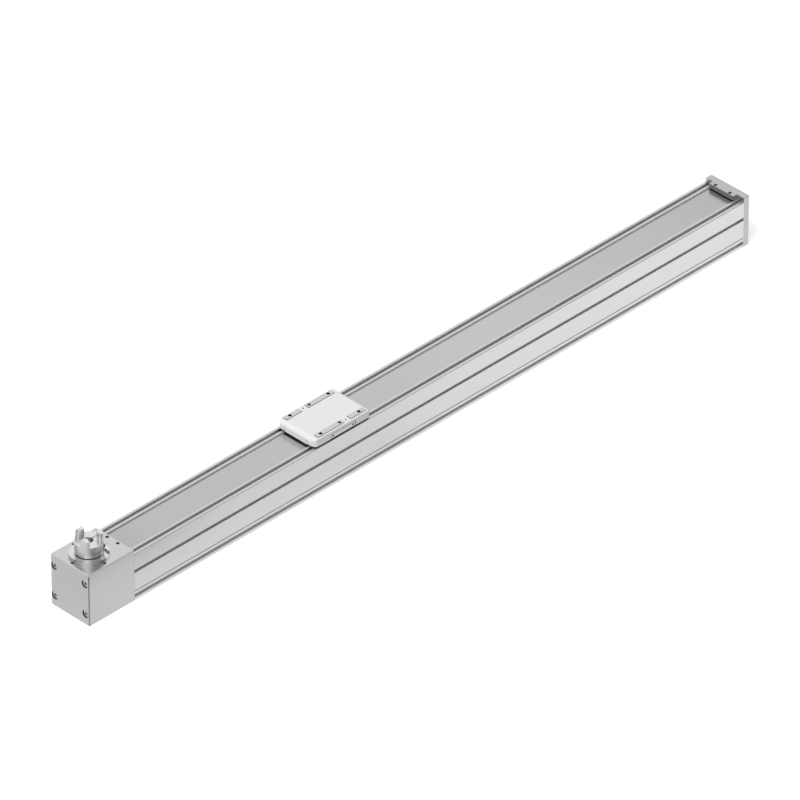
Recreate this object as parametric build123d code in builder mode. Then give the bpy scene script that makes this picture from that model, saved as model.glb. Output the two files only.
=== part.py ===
"""Belt driven linear axis without its motor.

X runs along the travel from the drive head to the end cap, Y across, Z up.
The origin is the middle of the underside. Sizes are in millimetres.
"""
from build123d import *
from math import asin, degrees, floor, pi
import os

os.makedirs("parts", exist_ok=True)

# Overall sizes
total_length = 1024.0
head_length = 67.0
cap_thickness = 9.5
profile_width = 60.0
belt_height = 46.0  # middle of the belt above the underside
belt_to_top = 14.7  # and below the profile's top
end_step = 5.7  # the head and the cap stand this much above the profile
end_inset = 0.2  # and are this much narrower on each side
end_corner_radius = 1.8
end_edge_radius = 1.3

# Profile section
profile_edge_radius = 0.6
channel_width = 38.4
channel_depth = 1.8
ledge_thickness = 3.0
slot_width = 28.4
cavity_width = 41.0
rail_bay_width = 38.0
rail_bay_height = 24.0
floor_thickness = 9.6
top_groove_width = 4.2
top_groove_depth = 3.6
top_groove_offset = 24.2
sensor_groove_height = 38.3
sensor_groove_mouth = 4.0
sensor_groove_width = 6.4
sensor_groove_lip = 1.8
sensor_groove_depth = 5.0
clamp_groove_height = 6.15
clamp_groove_width = 4.3
clamp_groove_depth = 3.5
witness_line_height = 12.35
witness_line_size = 1.0
base_relief_width = 30.0
base_relief_depth = 0.5

# End fixing screws, M5 socket heads
end_screw_offset = 23.75
end_screw_low = 13.5
end_screw_drop = 7.7  # upper screws below the profile's top
end_screw_radius = 2.5
end_screw_head_radius = 4.25
end_screw_head_height = 5.0
end_screw_reach = 14.0
end_screw_socket = 2.3
socket_share = 0.6  # of the head's height
thread_gap = 0.05
screw_gap = 0.25
counterbore_gap = 0.5
head_below_face = 0.2

# Cover strip
strip_width = 37.6
strip_thickness = 0.3
strip_lift = 6.35
strip_ramp_inset = 3.3  # the raised part ends this far inside the slide's ends
strip_ramp_length = 18.0
strip_gap = 0.8
strip_end_depth = 11.0
strip_slot_height = 2.4
strip_pad_width = 34.0

# Set screws that clamp the strip, M4
set_screw_radius = 2.05
set_screw_recess = 1.2
set_screw_socket = 1.15
socket_depth = 2.0
head_clamp_offset = 8.25
head_clamp_inset = 3.2
cap_clamp_offset = 11.15
cap_clamp_inset = 3.2

# Tongue of the end cap
tongue_length = 5.8
tongue_width = 37.6
tongue_height = 5.8

# Belt drive, curved teeth on a 3 mm pitch
belt_pitch = 3.0
pulley_teeth = 26
belt_width = 9.0
belt_back = 1.23
tooth_height = 1.1
tooth_root_half = 0.95
tooth_tip_half = 0.55
tooth_bury = 0.1
pitch_line_offset = 0.381
groove_gap = 0.13
belt_gap = 0.05
flange_radius = 14.0
flange_thickness = 1.2
pulley_side_gap = 0.5
lead_in_teeth = 2

# Drive shaft and its bearings
drive_axis_inset = 28.9
shaft_radius = 5.0
shoulder_radius = 6.5
bearing_radius = 13.0
bearing_width = 8.0
bearing_inner_wall = 2.6
bearing_outer_wall = 2.8
shield_thickness = 0.8
running_gap = 0.05
seat_gap = 0.03
lower_shoulder_length = 6.8
shaft_end_gap = 2.0

# Drive head
pulley_bay_radius = 17.0
pulley_bay_gap = 3.2  # above the pulley's upper flange
belt_bay_width = 31.0
belt_bay_gap_below = 1.3
belt_bay_gap_above = 1.8
shaft_passage_radius = 8.5
cover_flange_radius = 23.0
cover_flange_thickness = 3.0
cover_screw_circle = 20.0
cover_screw_radius = 1.5
cover_screw_head_radius = 2.7
cover_screw_head_height = 1.8
cover_screw_reach = 8.0
motor_hole_circle = 49.0
motor_hole_radius = 1.65
motor_hole_depth = 9.0

# Centring collar
collar_radius = 22.25
collar_bore_radius = 17.2
collar_height = 3.8
collar_lip = 1.3
collar_lip_bore = 9.5
collar_notch_near = 4.0
collar_notch_far = 15.1
collar_small_notch_near = 1.2
collar_small_notch_far = 7.0

# Coupling hub
hub_radius = 16.0
hub_lift = 2.6
hub_floor_lift = 18.2
hub_top_lift = 26.7
hub_edge = 0.8
jaw_count = 3
jaw_first_angle = 90.0
jaw_half_angle = 20.5
jaw_inner_radius = 9.8
spider_leg_radius = 4.6
spider_leg_circle = 12.2
spider_leg_bite = 1.3
jaw_tip_chamfer = 0.7
hub_bore_chamfer = 0.4
hub_slit = 0.9
shaft_below_floor = 5.0
hub_screw_offset = 10.7
hub_screw_lift = 9.6
hub_screw_radius = 2.0
hub_screw_head_radius = 3.5
hub_screw_head_height = 4.0
hub_screw_head_seat = 7.0
hub_screw_reach = 9.0

# Idler at the cap end
idler_reach = 19.0
axle_radius = 4.0
idler_ring_wall = 1.57
fork_width = 26.0
fork_arm_width = 20.0
fork_arm_thickness = 2.5
fork_arm_reach = 9.0
fork_gap = 0.3
fork_base_gap = 0.8
fork_cap_gap = 1.0
tension_screw_offset = 8.0
tension_screw_radius = 2.0
tension_screw_head_radius = 3.5
tension_screw_head_height = 4.0

# Guide rail and its block
rail_width = 15.0
rail_height = 12.5
rail_end_gap = 1.0
rail_track_height = 8.0
rail_track_size = 1.2
rail_hole_pitch = 240.0
rail_screw_radius = 2.0
rail_screw_head_radius = 3.5
rail_screw_head_height = 4.0
rail_screw_floor = 4.0
block_width = 34.0
block_length = 54.0
block_above_floor = 3.5
block_gap = 0.3
end_seal_thickness = 2.0
ball_radius = 1.0
balls_per_row = 2
ball_spacing = 40.0

# Inner carriage
carriage_end_inset = 3.3  # inside the slide's end faces
carriage_base_width = 34.0
carriage_base_thickness = 4.4
web_width = 15.0
neck_width = 26.8
block_screw_spacing_x = 26.0
block_screw_spacing_y = 25.0
block_screw_radius = 1.5
block_screw_head_radius = 2.7
block_screw_head_height = 2.4
block_screw_reach = 5.0

# Belt clamps
clamp_end_inset = 2.0
clamp_screw_head_gap = 1.3  # to the heads of the block's screws
clamp_plate_thickness = 3.0
clamp_height = 15.6
clamp_gap_below = 0.2  # to the carriage's base
clamp_gap_above = 0.3  # to its neck
clamp_screw_spacing_z = 12.2
clamp_screw_radius = 1.25
clamp_screw_head_radius = 1.4
clamp_screw_head_height = 1.2
clamp_screw_reach = 4.0

# Slide over the profile
slide_rest = 316.0  # middle of the slide from the head's inner face
head_reserve = 27.7
tongue_reserve = 27.4
slide_length = 86.6
slide_width = 58.4
slide_gap = 1.7
slide_height = 9.6
slide_corner_radius = 6.2
slide_end_radius = 5.5
slide_end_crease = 0.1
slide_edge_radius = 1.2
cover_side_wall = 2.2
cover_end_wall = 3.0
cover_top_wall = 1.65
cover_fit = 0.05
pad_rise = 0.7
pad_width = 6.4
pad_offset = 23.6
pad_radius = 0.6
pad_fit = 0.35
long_pad_inset = 7.3  # from the slide's end face
short_pad_inset = 6.3
short_pad_length = 23.0
pad_spacing = 10.0
slide_hole_spacing_x = 58.5
slide_hole_spacing_y = 47.5
slide_hole_radius = 2.1
pin_hole_offset = 23.6
pin_hole_radius = 2.0
pin_hole_depth = 6.0
oil_hole_y = 24.1
oil_hole_radius = 1.0
side_plate_length = 37.0
side_plate_height = 5.3
side_plate_inset = 0.2
side_hole_spacing = 30.5
side_hole_height = 2.7
side_hole_radius = 1.25
side_hole_depth = 4.0

# End deflectors and wipers of the slide
deflector_width = 34.2
deflector_ramp_inset = 2.2  # behind the upper end of the strip's ramp
deflector_bottom_gap = 1.2
deflector_top = 5.8
deflector_fit = 0.1
deflector_edge = 0.4
wiper_length = 1.2
wiper_inset = 0.3
wiper_lift = 0.05

# Rubber buffers at the ends of the travel
buffer_gap = 1.5
buffer_width = 16.0
buffer_height = 8.0
buffer_fork_gap = 1.0

# Places that follow from the sizes
x_head_end = -total_length / 2
x_head_face = x_head_end + head_length
x_cap_end = total_length / 2
x_cap_face = x_cap_end - cap_thickness
x_tongue = x_cap_face - tongue_length
x_drive = x_head_end + drive_axis_inset
x_idler = x_drive + belt_pitch * floor((x_cap_face - idler_reach - x_drive) / belt_pitch)
x_slide = x_head_face + slide_rest
x_slide_min = x_head_face + head_reserve + slide_length / 2
x_slide_max = x_tongue - tongue_reserve - slide_length / 2
end_width = profile_width - 2 * end_inset
profile_height = belt_height + belt_to_top
end_height = profile_height + end_step
z_channel = profile_height - channel_depth
z_ledge = z_channel - ledge_thickness
z_strip_top = z_channel + strip_thickness
z_rail = floor_thickness
z_rail_top = z_rail + rail_height
z_base_top = belt_height - clamp_height / 2 - clamp_gap_below
z_block_top = z_base_top - carriage_base_thickness
z_neck = belt_height + clamp_height / 2 + clamp_gap_above
z_slide = profile_height + slide_gap
z_slide_top = z_slide + slide_height
z_pad = z_slide_top + pad_rise
z_body_top = z_slide_top - cover_top_wall
z_belt = belt_height - belt_width / 2
z_flange_low = belt_height - belt_width / 2 - pulley_side_gap - flange_thickness
z_flange_high = belt_height + belt_width / 2 + pulley_side_gap + flange_thickness
pitch_radius = pulley_teeth * belt_pitch / (2 * pi)
pulley_radius = pitch_radius - pitch_line_offset
belt_inner_radius = pulley_radius + belt_gap
belt_outer_radius = belt_inner_radius + belt_back
lower_bearing_base = z_flange_low - lower_shoulder_length - bearing_width
fork_low = z_flange_low - fork_gap - fork_arm_thickness
fork_high = z_flange_high + fork_gap + fork_arm_thickness
strip_ramp_half = slide_length / 2 - strip_ramp_inset
strip_flat_half = strip_ramp_half - strip_ramp_length
deflector_start = strip_flat_half + deflector_ramp_inset
carriage_length = slide_length - 2 * carriage_end_inset
end_screw_high = profile_height - end_screw_drop
end_screw_places = [
    (side * end_screw_offset, height) for side in (-1, 1) for height in (end_screw_low, end_screw_high)
]


def box_between(x_span, y_span, z_span, mode=Mode.ADD):
    """A block given by its two ends along each axis."""
    middle = [sum(span) / 2 for span in (x_span, y_span, z_span)]
    size = [span[1] - span[0] for span in (x_span, y_span, z_span)]
    with Locations(tuple(middle)):
        Box(*size, mode=mode)


def rod(place, direction, radius, length, mode=Mode.ADD):
    """A cylinder that starts at a place and runs in a direction."""
    with Locations(Plane(origin=place, z_dir=direction).location):
        Cylinder(radius, length, align=(Align.CENTER, Align.CENTER, Align.MIN), mode=mode)


def screw_shape(radius, length, head_radius, head_height, socket=0.0):
    """A socket head screw: its head stands on the origin and its shank points down."""
    rod((0, 0, 0), (0, 0, -1), radius, length)
    rod((0, 0, 0), (0, 0, 1), head_radius, head_height)
    if socket:
        with BuildSketch(Plane.XY.offset(head_height)) as hexagon:
            RegularPolygon(socket, 6)
        extrude(hexagon.sketch, amount=-head_height * socket_share, mode=Mode.SUBTRACT)


def face_at(x, y, z, direction):
    """A place whose own Z axis points in a direction."""
    return Plane(origin=(x, y, z), z_dir=direction).location


def strip_height(x):
    """Middle of the strip's thickness at a distance from the middle of the slide."""
    base = z_channel + strip_thickness / 2
    climb = (strip_ramp_half - min(max(abs(x), strip_flat_half), strip_ramp_half)) / (
        strip_ramp_half - strip_flat_half
    )
    return base + strip_lift * climb


def strip_outline(below, above, reach):
    """Outline in the XZ plane that follows the strip through the slide at two distances from it."""
    stations = (-reach, -strip_ramp_half, -strip_flat_half, strip_flat_half, strip_ramp_half, reach)
    low = [(x_slide + x, strip_height(x) - below) for x in stations]
    high = [(x_slide + x, strip_height(x) + above) for x in reversed(stations)]
    return low + high


def clamp_screw_places():
    """Places of the belt clamps' screws, above and below the belt, as X and Z pairs."""
    return [
        (sum(span) / 2, belt_height + step * clamp_screw_spacing_z)
        for span in clamp_spans
        for step in (-0.5, 0.5)
    ]


def tooth(growth, mode=Mode.ADD):
    """One belt tooth, whose place is on the belt's inner face with X towards the belt's back."""
    tip = (-tooth_height - growth, tooth_tip_half + growth)
    root = (tooth_bury, tooth_root_half + growth)
    Polygon(tip, root, (root[0], -root[1]), (tip[0], -tip[1]), align=None, mode=mode)


def belt_tooth_places(start, end):
    """Places along the belt's straight runs where its teeth lie, between two X values."""
    first = -floor(-(start - x_drive) / belt_pitch)
    last = floor((end - x_drive) / belt_pitch)
    return [x_drive + belt_pitch * step for step in range(first, last + 1)]


def straight_tooth_place(x, side):
    """Place of a tooth on one of the belt's straight runs."""
    return Location((x, side * belt_inner_radius, 0), (0, 0, side * 90))


# Profile housing: one extruded section
with BuildPart() as profile_housing:
    with BuildSketch(Plane.YZ.offset(x_head_face)):
        with Locations((0, profile_height / 2)):
            RectangleRounded(profile_width, profile_height, profile_edge_radius)
        with Locations((0, profile_height)):
            Rectangle(channel_width, 2 * channel_depth, mode=Mode.SUBTRACT)
        with Locations((0, z_ledge)):
            Rectangle(slot_width, 2 * (z_channel - z_ledge), mode=Mode.SUBTRACT)
        with Locations((0, (rail_bay_height + z_ledge) / 2)):
            Rectangle(cavity_width, z_ledge - rail_bay_height, mode=Mode.SUBTRACT)
        with Locations((0, (floor_thickness + rail_bay_height) / 2)):
            Rectangle(rail_bay_width, rail_bay_height - floor_thickness, mode=Mode.SUBTRACT)
        with Locations((0, 0)):
            Rectangle(base_relief_width, 2 * base_relief_depth, mode=Mode.SUBTRACT)
        for side in (-1, 1):
            edge = side * profile_width / 2
            with Locations((side * top_groove_offset, profile_height)):
                Rectangle(top_groove_width, 2 * top_groove_depth, mode=Mode.SUBTRACT)
            with Locations((edge, sensor_groove_height)):
                Rectangle(2 * sensor_groove_depth, sensor_groove_mouth, mode=Mode.SUBTRACT)
            chamber = sensor_groove_depth - sensor_groove_lip
            with Locations((edge - side * (sensor_groove_lip + chamber / 2), sensor_groove_height)):
                Rectangle(chamber, sensor_groove_width, mode=Mode.SUBTRACT)
            with Locations((edge, clamp_groove_height)):
                Rectangle(2 * clamp_groove_depth, clamp_groove_width, mode=Mode.SUBTRACT)
            with Locations((edge, witness_line_height)):
                Rectangle(witness_line_size, witness_line_size, rotation=45, mode=Mode.SUBTRACT)
        with Locations(*end_screw_places):
            Circle(end_screw_radius + thread_gap, mode=Mode.SUBTRACT)
    extrude(amount=x_cap_face - x_head_face)
    rail_start = x_head_face + rail_end_gap
    rail_length = x_cap_face - rail_end_gap - rail_start
    rail_holes = floor((rail_length - rail_hole_pitch / 2) / rail_hole_pitch) + 1
    rail_first_hole = rail_start + (rail_length - (rail_holes - 1) * rail_hole_pitch) / 2
    for hole in range(rail_holes):
        place = (rail_first_hole + hole * rail_hole_pitch, 0, floor_thickness)
        depth = floor_thickness - rail_screw_floor
        rod(place, (0, 0, -1), rail_screw_radius + thread_gap, depth, mode=Mode.SUBTRACT)
profile_housing.part.label = "profile_housing"
export_step(profile_housing.part, "parts/profile_housing.step")

# Drive head: block with the pulley bay, bearing seat and belt passage
with BuildPart() as drive_head:
    box_between((x_head_end, x_head_face), (-end_width / 2, end_width / 2), (0, end_height))
    fillet(drive_head.edges().filter_by(Axis.Z).group_by(Axis.X)[0], end_corner_radius)
    fillet(drive_head.faces().sort_by(Axis.Z)[-1].edges().sort_by(Axis.X)[:-1], end_edge_radius)
    pulley_bay_top = z_flange_high + pulley_bay_gap
    rod((x_drive, 0, 0), (0, 0, 1), pulley_bay_radius, pulley_bay_top, mode=Mode.SUBTRACT)
    flange_seat = cover_flange_radius + cover_fit
    rod((x_drive, 0, 0), (0, 0, 1), flange_seat, cover_flange_thickness, mode=Mode.SUBTRACT)
    rod((x_drive, 0, pulley_bay_top), (0, 0, 1), shaft_passage_radius, end_height, mode=Mode.SUBTRACT)
    rod((x_drive, 0, end_height), (0, 0, -1), bearing_radius + seat_gap, bearing_width, mode=Mode.SUBTRACT)
    bay = (-belt_bay_width / 2, belt_bay_width / 2)
    bay_z = (z_flange_low - belt_bay_gap_below, z_flange_high + belt_bay_gap_above)
    box_between((x_drive, x_head_face), bay, bay_z, mode=Mode.SUBTRACT)
    slot = (-channel_width / 2, channel_width / 2)
    slot_depth = strip_end_depth + screw_gap
    slot_top = z_channel + strip_slot_height
    box_between((x_head_face - slot_depth, x_head_face), slot, (z_channel, slot_top), mode=Mode.SUBTRACT)
    for y, z in end_screw_places:
        rod((x_head_end, y, z), (1, 0, 0), end_screw_radius + screw_gap, head_length, mode=Mode.SUBTRACT)
        bore = end_screw_head_radius + counterbore_gap
        depth = end_screw_head_height + head_below_face
        rod((x_head_end, y, z), (1, 0, 0), bore, depth, mode=Mode.SUBTRACT)
    for side in (-1, 1):
        place = (x_head_face - head_clamp_inset, side * head_clamp_offset, z_channel + strip_slot_height)
        rod(place, (0, 0, 1), set_screw_radius + thread_gap, end_height, mode=Mode.SUBTRACT)
    with Locations((x_drive, 0, end_height)):
        with PolarLocations(motor_hole_circle / 2, 4):
            Cylinder(motor_hole_radius, 2 * motor_hole_depth, mode=Mode.SUBTRACT)
    with Locations((x_drive, 0, cover_flange_thickness)):
        with PolarLocations(cover_screw_circle, 4, start_angle=45):
            depth = cover_screw_reach + thread_gap
            Cylinder(cover_screw_radius + thread_gap, 2 * depth, mode=Mode.SUBTRACT)
drive_head.part.label = "drive_head"
export_step(drive_head.part, "parts/drive_head.step")

# One M5 end screw for the head and a shorter one for the cap
with BuildPart() as long_screw:
    shank = head_length - end_screw_head_height - head_below_face + end_screw_reach
    screw_shape(end_screw_radius, shank, end_screw_head_radius, end_screw_head_height, end_screw_socket)
with BuildPart() as short_screw:
    shank = cap_thickness - end_screw_head_height - head_below_face + end_screw_reach
    screw_shape(end_screw_radius, shank, end_screw_head_radius, end_screw_head_height, end_screw_socket)

with BuildPart() as drive_head_screws:
    seat = x_head_end + end_screw_head_height + head_below_face
    for y, z in end_screw_places:
        with Locations(face_at(seat, y, z, (-1, 0, 0))):
            add(long_screw.part)
drive_head_screws.part.label = "drive_head_screws"
export_step(drive_head_screws.part, "parts/drive_head_screws.step")

with BuildPart() as end_cap_screws:
    seat = x_cap_end - end_screw_head_height - head_below_face
    for y, z in end_screw_places:
        with Locations(face_at(seat, y, z, (1, 0, 0))):
            add(short_screw.part)
end_cap_screws.part.label = "end_cap_screws"
export_step(end_cap_screws.part, "parts/end_cap_screws.step")

# Cover under the head that carries the lower bearing
with BuildPart() as bearing_cover:
    plug_top = lower_bearing_base + bearing_width
    rod((x_drive, 0, 0), (0, 0, 1), pulley_bay_radius - seat_gap, plug_top)
    rod((x_drive, 0, 0), (0, 0, 1), cover_flange_radius, cover_flange_thickness)
    rod((x_drive, 0, plug_top), (0, 0, -1), bearing_radius + seat_gap, bearing_width, mode=Mode.SUBTRACT)
    relief = shaft_end_gap + bearing_width / 2
    rod((x_drive, 0, lower_bearing_base), (0, 0, -1), shaft_passage_radius, relief, mode=Mode.SUBTRACT)
    with Locations((x_drive, 0, 0)):
        with PolarLocations(cover_screw_circle, 4, start_angle=45):
            Cylinder(cover_screw_radius + screw_gap, 4 * cover_flange_thickness, mode=Mode.SUBTRACT)
            recess = cover_screw_head_height + head_below_face
            Cylinder(cover_screw_head_radius + screw_gap, 2 * recess, mode=Mode.SUBTRACT)
bearing_cover.part.label = "bearing_cover"
export_step(bearing_cover.part, "parts/bearing_cover.step")

with BuildPart() as cover_screw:
    shank = cover_screw_reach + cover_flange_thickness - cover_screw_head_height - head_below_face
    screw_shape(cover_screw_radius, shank, cover_screw_head_radius, cover_screw_head_height)

with BuildPart() as bearing_cover_screws:
    with Locations(face_at(x_drive, 0, cover_screw_head_height + head_below_face, (0, 0, -1))):
        with PolarLocations(cover_screw_circle, 4, start_angle=45):
            add(cover_screw.part)
bearing_cover_screws.part.label = "bearing_cover_screws"
export_step(bearing_cover_screws.part, "parts/bearing_cover_screws.step")


def outer_ring(base):
    """Outer ring of a sealed bearing with its two shields."""
    inner_edge = shaft_radius + bearing_inner_wall + running_gap
    raceway = bearing_radius - bearing_outer_wall
    with BuildSketch(Plane.XZ.shift_origin((x_drive, 0, base))) as section:
        with BuildLine():
            Polyline(
                (inner_edge, 0),
                (bearing_radius, 0),
                (bearing_radius, bearing_width),
                (inner_edge, bearing_width),
                (inner_edge, bearing_width - shield_thickness),
                (raceway, bearing_width - shield_thickness),
                (raceway, shield_thickness),
                (inner_edge, shield_thickness),
                close=True,
            )
        make_face()
    revolve(section.sketch, axis=Axis((x_drive, 0, 0), (0, 0, 1)))


def ring(x, base, height, inner, outer):
    """A plain ring that stands on a height."""
    with BuildSketch(Plane(origin=(x, 0, base), z_dir=(0, 0, 1))) as section:
        Circle(outer)
        Circle(inner, mode=Mode.SUBTRACT)
    extrude(section.sketch, amount=height)


with BuildPart() as upper_bearing_outer:
    outer_ring(end_height - bearing_width)
upper_bearing_outer.part.label = "upper_bearing_outer"
export_step(upper_bearing_outer.part, "parts/upper_bearing_outer.step")

with BuildPart() as lower_bearing_outer:
    outer_ring(lower_bearing_base)
lower_bearing_outer.part.label = "lower_bearing_outer"
export_step(lower_bearing_outer.part, "parts/lower_bearing_outer.step")

inner_ring_radius = shaft_radius + bearing_inner_wall
with BuildPart() as upper_bearing_inner:
    ring(x_drive, end_height - bearing_width, bearing_width, shaft_radius + seat_gap, inner_ring_radius)
upper_bearing_inner.part.label = "upper_bearing_inner"
export_step(upper_bearing_inner.part, "parts/upper_bearing_inner.step")

with BuildPart() as lower_bearing_inner:
    ring(x_drive, lower_bearing_base, bearing_width, shaft_radius + seat_gap, inner_ring_radius)
lower_bearing_inner.part.label = "lower_bearing_inner"
export_step(lower_bearing_inner.part, "parts/lower_bearing_inner.step")

# Centring collar on the head, which also holds the upper bearing down
with BuildPart() as centring_collar:
    ring(x_drive, end_height, collar_height, collar_bore_radius, collar_radius)
    ring(x_drive, end_height, collar_lip, collar_lip_bore, collar_radius)
    notch_x = (x_drive + collar_notch_near, x_drive + collar_notch_far)
    notch_y = (-collar_radius, -collar_bore_radius / 2)
    notch_z = (end_height + collar_lip, end_height + collar_height)
    box_between(notch_x, notch_y, notch_z, mode=Mode.SUBTRACT)
    notch_x = (x_drive - collar_radius, x_drive - collar_bore_radius)
    notch_y = (-collar_small_notch_far, -collar_small_notch_near)
    box_between(notch_x, notch_y, notch_z, mode=Mode.SUBTRACT)
centring_collar.part.label = "centring_collar"
export_step(centring_collar.part, "parts/centring_collar.step")

# Drive shaft with its lower shoulder
with BuildPart() as drive_shaft:
    shaft_base = lower_bearing_base - shaft_end_gap
    shaft_top = end_height + hub_floor_lift - shaft_below_floor
    rod((x_drive, 0, shaft_base), (0, 0, 1), shaft_radius, shaft_top - shaft_base)
    chamfer(drive_shaft.edges().filter_by(GeomType.CIRCLE), shaft_radius / 10)
    shoulder_base = lower_bearing_base + bearing_width
    rod((x_drive, 0, shoulder_base), (0, 0, 1), shoulder_radius, z_flange_low - shoulder_base)
drive_shaft.part.label = "drive_shaft"
export_step(drive_shaft.part, "parts/drive_shaft.step")

with BuildPart() as shaft_spacer:
    spacer_height = end_height - bearing_width - z_flange_high
    ring(x_drive, z_flange_high, spacer_height, shaft_radius + seat_gap, shoulder_radius)
shaft_spacer.part.label = "shaft_spacer"
export_step(shaft_spacer.part, "parts/shaft_spacer.step")


def pulley(x, bore):
    """Toothed pulley between two flanges, with a tooth gap at each end of its Y diameter."""
    with BuildSketch(Plane(origin=(x, 0, z_flange_low), z_dir=(0, 0, 1))) as section:
        Circle(pulley_radius)
        with PolarLocations(belt_inner_radius, pulley_teeth, start_angle=90):
            tooth(groove_gap, mode=Mode.SUBTRACT)
    extrude(section.sketch, amount=z_flange_high - z_flange_low)
    for base in (z_flange_low, z_flange_high - flange_thickness):
        rod((x, 0, base), (0, 0, 1), flange_radius, flange_thickness)
    rod((x, 0, z_flange_low), (0, 0, 1), bore, z_flange_high - z_flange_low, mode=Mode.SUBTRACT)


with BuildPart() as drive_pulley:
    pulley(x_drive, shaft_radius + seat_gap)
drive_pulley.part.label = "drive_pulley"
export_step(drive_pulley.part, "parts/drive_pulley.step")

# Coupling hub with three jaws, concave flanks, clamp slit and screw seat
with BuildPart() as coupling_hub:
    hub_base = end_height + hub_lift
    hub_floor = end_height + hub_floor_lift
    rod((x_drive, 0, hub_base), (0, 0, 1), hub_radius, hub_floor - hub_base)
    chamfer(coupling_hub.edges().filter_by(GeomType.CIRCLE).sort_by(Axis.Z)[:1], hub_edge)
    leg_angle = jaw_half_angle + degrees(asin((spider_leg_radius - spider_leg_bite) / spider_leg_circle))
    with BuildSketch(Plane(origin=(x_drive, 0, hub_floor), z_dir=(0, 0, 1))):
        Circle(hub_radius)
        Circle(jaw_inner_radius, mode=Mode.SUBTRACT)
        gap_half_angle = 180 / jaw_count - jaw_half_angle
        for jaw in range(jaw_count):
            gap_angle = jaw_first_angle + (jaw + 0.5) * 360 / jaw_count
            turns = (-gap_half_angle, 0, gap_half_angle)
            corners = [Vector(3 * hub_radius, 0).rotate(Axis.Z, gap_angle + turn) for turn in turns]
            Polygon((0, 0), *corners, align=None, mode=Mode.SUBTRACT)
            for turn in (-leg_angle, leg_angle):
                jaw_angle = jaw_first_angle + jaw * 360 / jaw_count
                with Locations(Vector(spider_leg_circle, 0).rotate(Axis.Z, jaw_angle + turn)):
                    Circle(spider_leg_radius, mode=Mode.SUBTRACT)
    extrude(amount=hub_top_lift - hub_floor_lift)
    tip_edges = coupling_hub.faces().sort_by(Axis.Z)[-jaw_count:].edges().filter_by(GeomType.CIRCLE)
    chamfer([edge for edge in tip_edges if edge.radius > hub_radius - hub_edge], jaw_tip_chamfer)
    bore_radius = shaft_radius + seat_gap
    rod((x_drive, 0, hub_base), (0, 0, 1), bore_radius, hub_top_lift, mode=Mode.SUBTRACT)
    circles = coupling_hub.edges().filter_by(GeomType.CIRCLE).sort_by(Axis.Z)
    rim = [edge for edge in circles if abs(edge.radius - bore_radius) < seat_gap]
    chamfer(rim[-1:], hub_bore_chamfer)
    slit = (-hub_slit / 2, hub_slit / 2)
    box_between((x_drive, x_drive + 2 * hub_radius), slit, (hub_base, hub_floor), mode=Mode.SUBTRACT)
    screw_x = x_drive + hub_screw_offset
    screw_z = end_height + hub_screw_lift
    seat_y = -hub_screw_head_seat
    seat_radius = hub_screw_head_radius + screw_gap
    rod((screw_x, seat_y, screw_z), (0, -1, 0), seat_radius, hub_radius, mode=Mode.SUBTRACT)
    hole_length = hub_screw_head_seat + hub_screw_reach
    rod((screw_x, seat_y, screw_z), (0, 1, 0), hub_screw_radius + thread_gap, hole_length, mode=Mode.SUBTRACT)
coupling_hub.part.label = "coupling_hub"
export_step(coupling_hub.part, "parts/coupling_hub.step")

with BuildPart() as hub_clamp_screw:
    with BuildSketch(Plane(origin=(screw_x, seat_y, screw_z), z_dir=(0, 1, 0))):
        Circle(hub_screw_radius)
    extrude(amount=hole_length)
    rod((screw_x, seat_y, screw_z), (0, -1, 0), hub_screw_head_radius, hub_screw_head_height)
hub_clamp_screw.part.label = "hub_clamp_screw"
export_step(hub_clamp_screw.part, "parts/hub_clamp_screw.step")

# End cap with the tongue over the strip
with BuildPart() as end_cap:
    box_between((x_cap_face, x_cap_end), (-end_width / 2, end_width / 2), (0, end_height))
    fillet(end_cap.edges().filter_by(Axis.Z).group_by(Axis.X)[-1], end_corner_radius)
    fillet(end_cap.faces().sort_by(Axis.Z)[-1].edges().sort_by(Axis.X)[1:], end_edge_radius)
    tongue = (-tongue_width / 2, tongue_width / 2)
    box_between((x_tongue, x_cap_face), tongue, (end_height - tongue_height, end_height))
    slot = (-channel_width / 2, channel_width / 2)
    slot_end = x_cap_face + cap_thickness / 2
    slot_top = end_height - tongue_height
    box_between((x_cap_face, slot_end), slot, (z_channel, slot_top), mode=Mode.SUBTRACT)
    for y, z in end_screw_places:
        rod((x_cap_end, y, z), (-1, 0, 0), end_screw_radius + screw_gap, cap_thickness, mode=Mode.SUBTRACT)
        bore = end_screw_head_radius + counterbore_gap
        depth = end_screw_head_height + head_below_face
        rod((x_cap_end, y, z), (-1, 0, 0), bore, depth, mode=Mode.SUBTRACT)
    for side in (-1, 1):
        place = (x_cap_face - cap_clamp_inset, side * cap_clamp_offset, end_height)
        rod(place, (0, 0, -1), set_screw_radius + thread_gap, tongue_height, mode=Mode.SUBTRACT)
        place = (x_cap_end, side * tension_screw_offset, belt_height)
        rod(place, (-1, 0, 0), tension_screw_radius + screw_gap, cap_thickness, mode=Mode.SUBTRACT)
        bore = tension_screw_head_radius + screw_gap
        depth = tension_screw_head_height + head_below_face
        rod(place, (-1, 0, 0), bore, depth, mode=Mode.SUBTRACT)
end_cap.part.label = "end_cap"
export_step(end_cap.part, "parts/end_cap.step")

# Stainless cover strip, lifted over the neck of the slide
strip_start = x_head_face - strip_end_depth
strip_stop = x_cap_face + cap_thickness / 2 - screw_gap
with BuildPart() as cover_strip:
    half = strip_thickness / 2
    with BuildSketch(Plane.XZ.offset(-strip_width / 2)):
        with BuildLine():
            outline = strip_outline(half, half, strip_ramp_half + strip_gap)
            Polyline(
                (strip_start, z_channel),
                *outline[:6],
                (strip_stop, z_channel),
                (strip_stop, z_strip_top),
                *outline[6:],
                (strip_start, z_strip_top),
                close=True,
            )
        make_face()
    extrude(amount=strip_width)
cover_strip.part.label = "cover_strip"
export_step(cover_strip.part, "parts/cover_strip.step")

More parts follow.
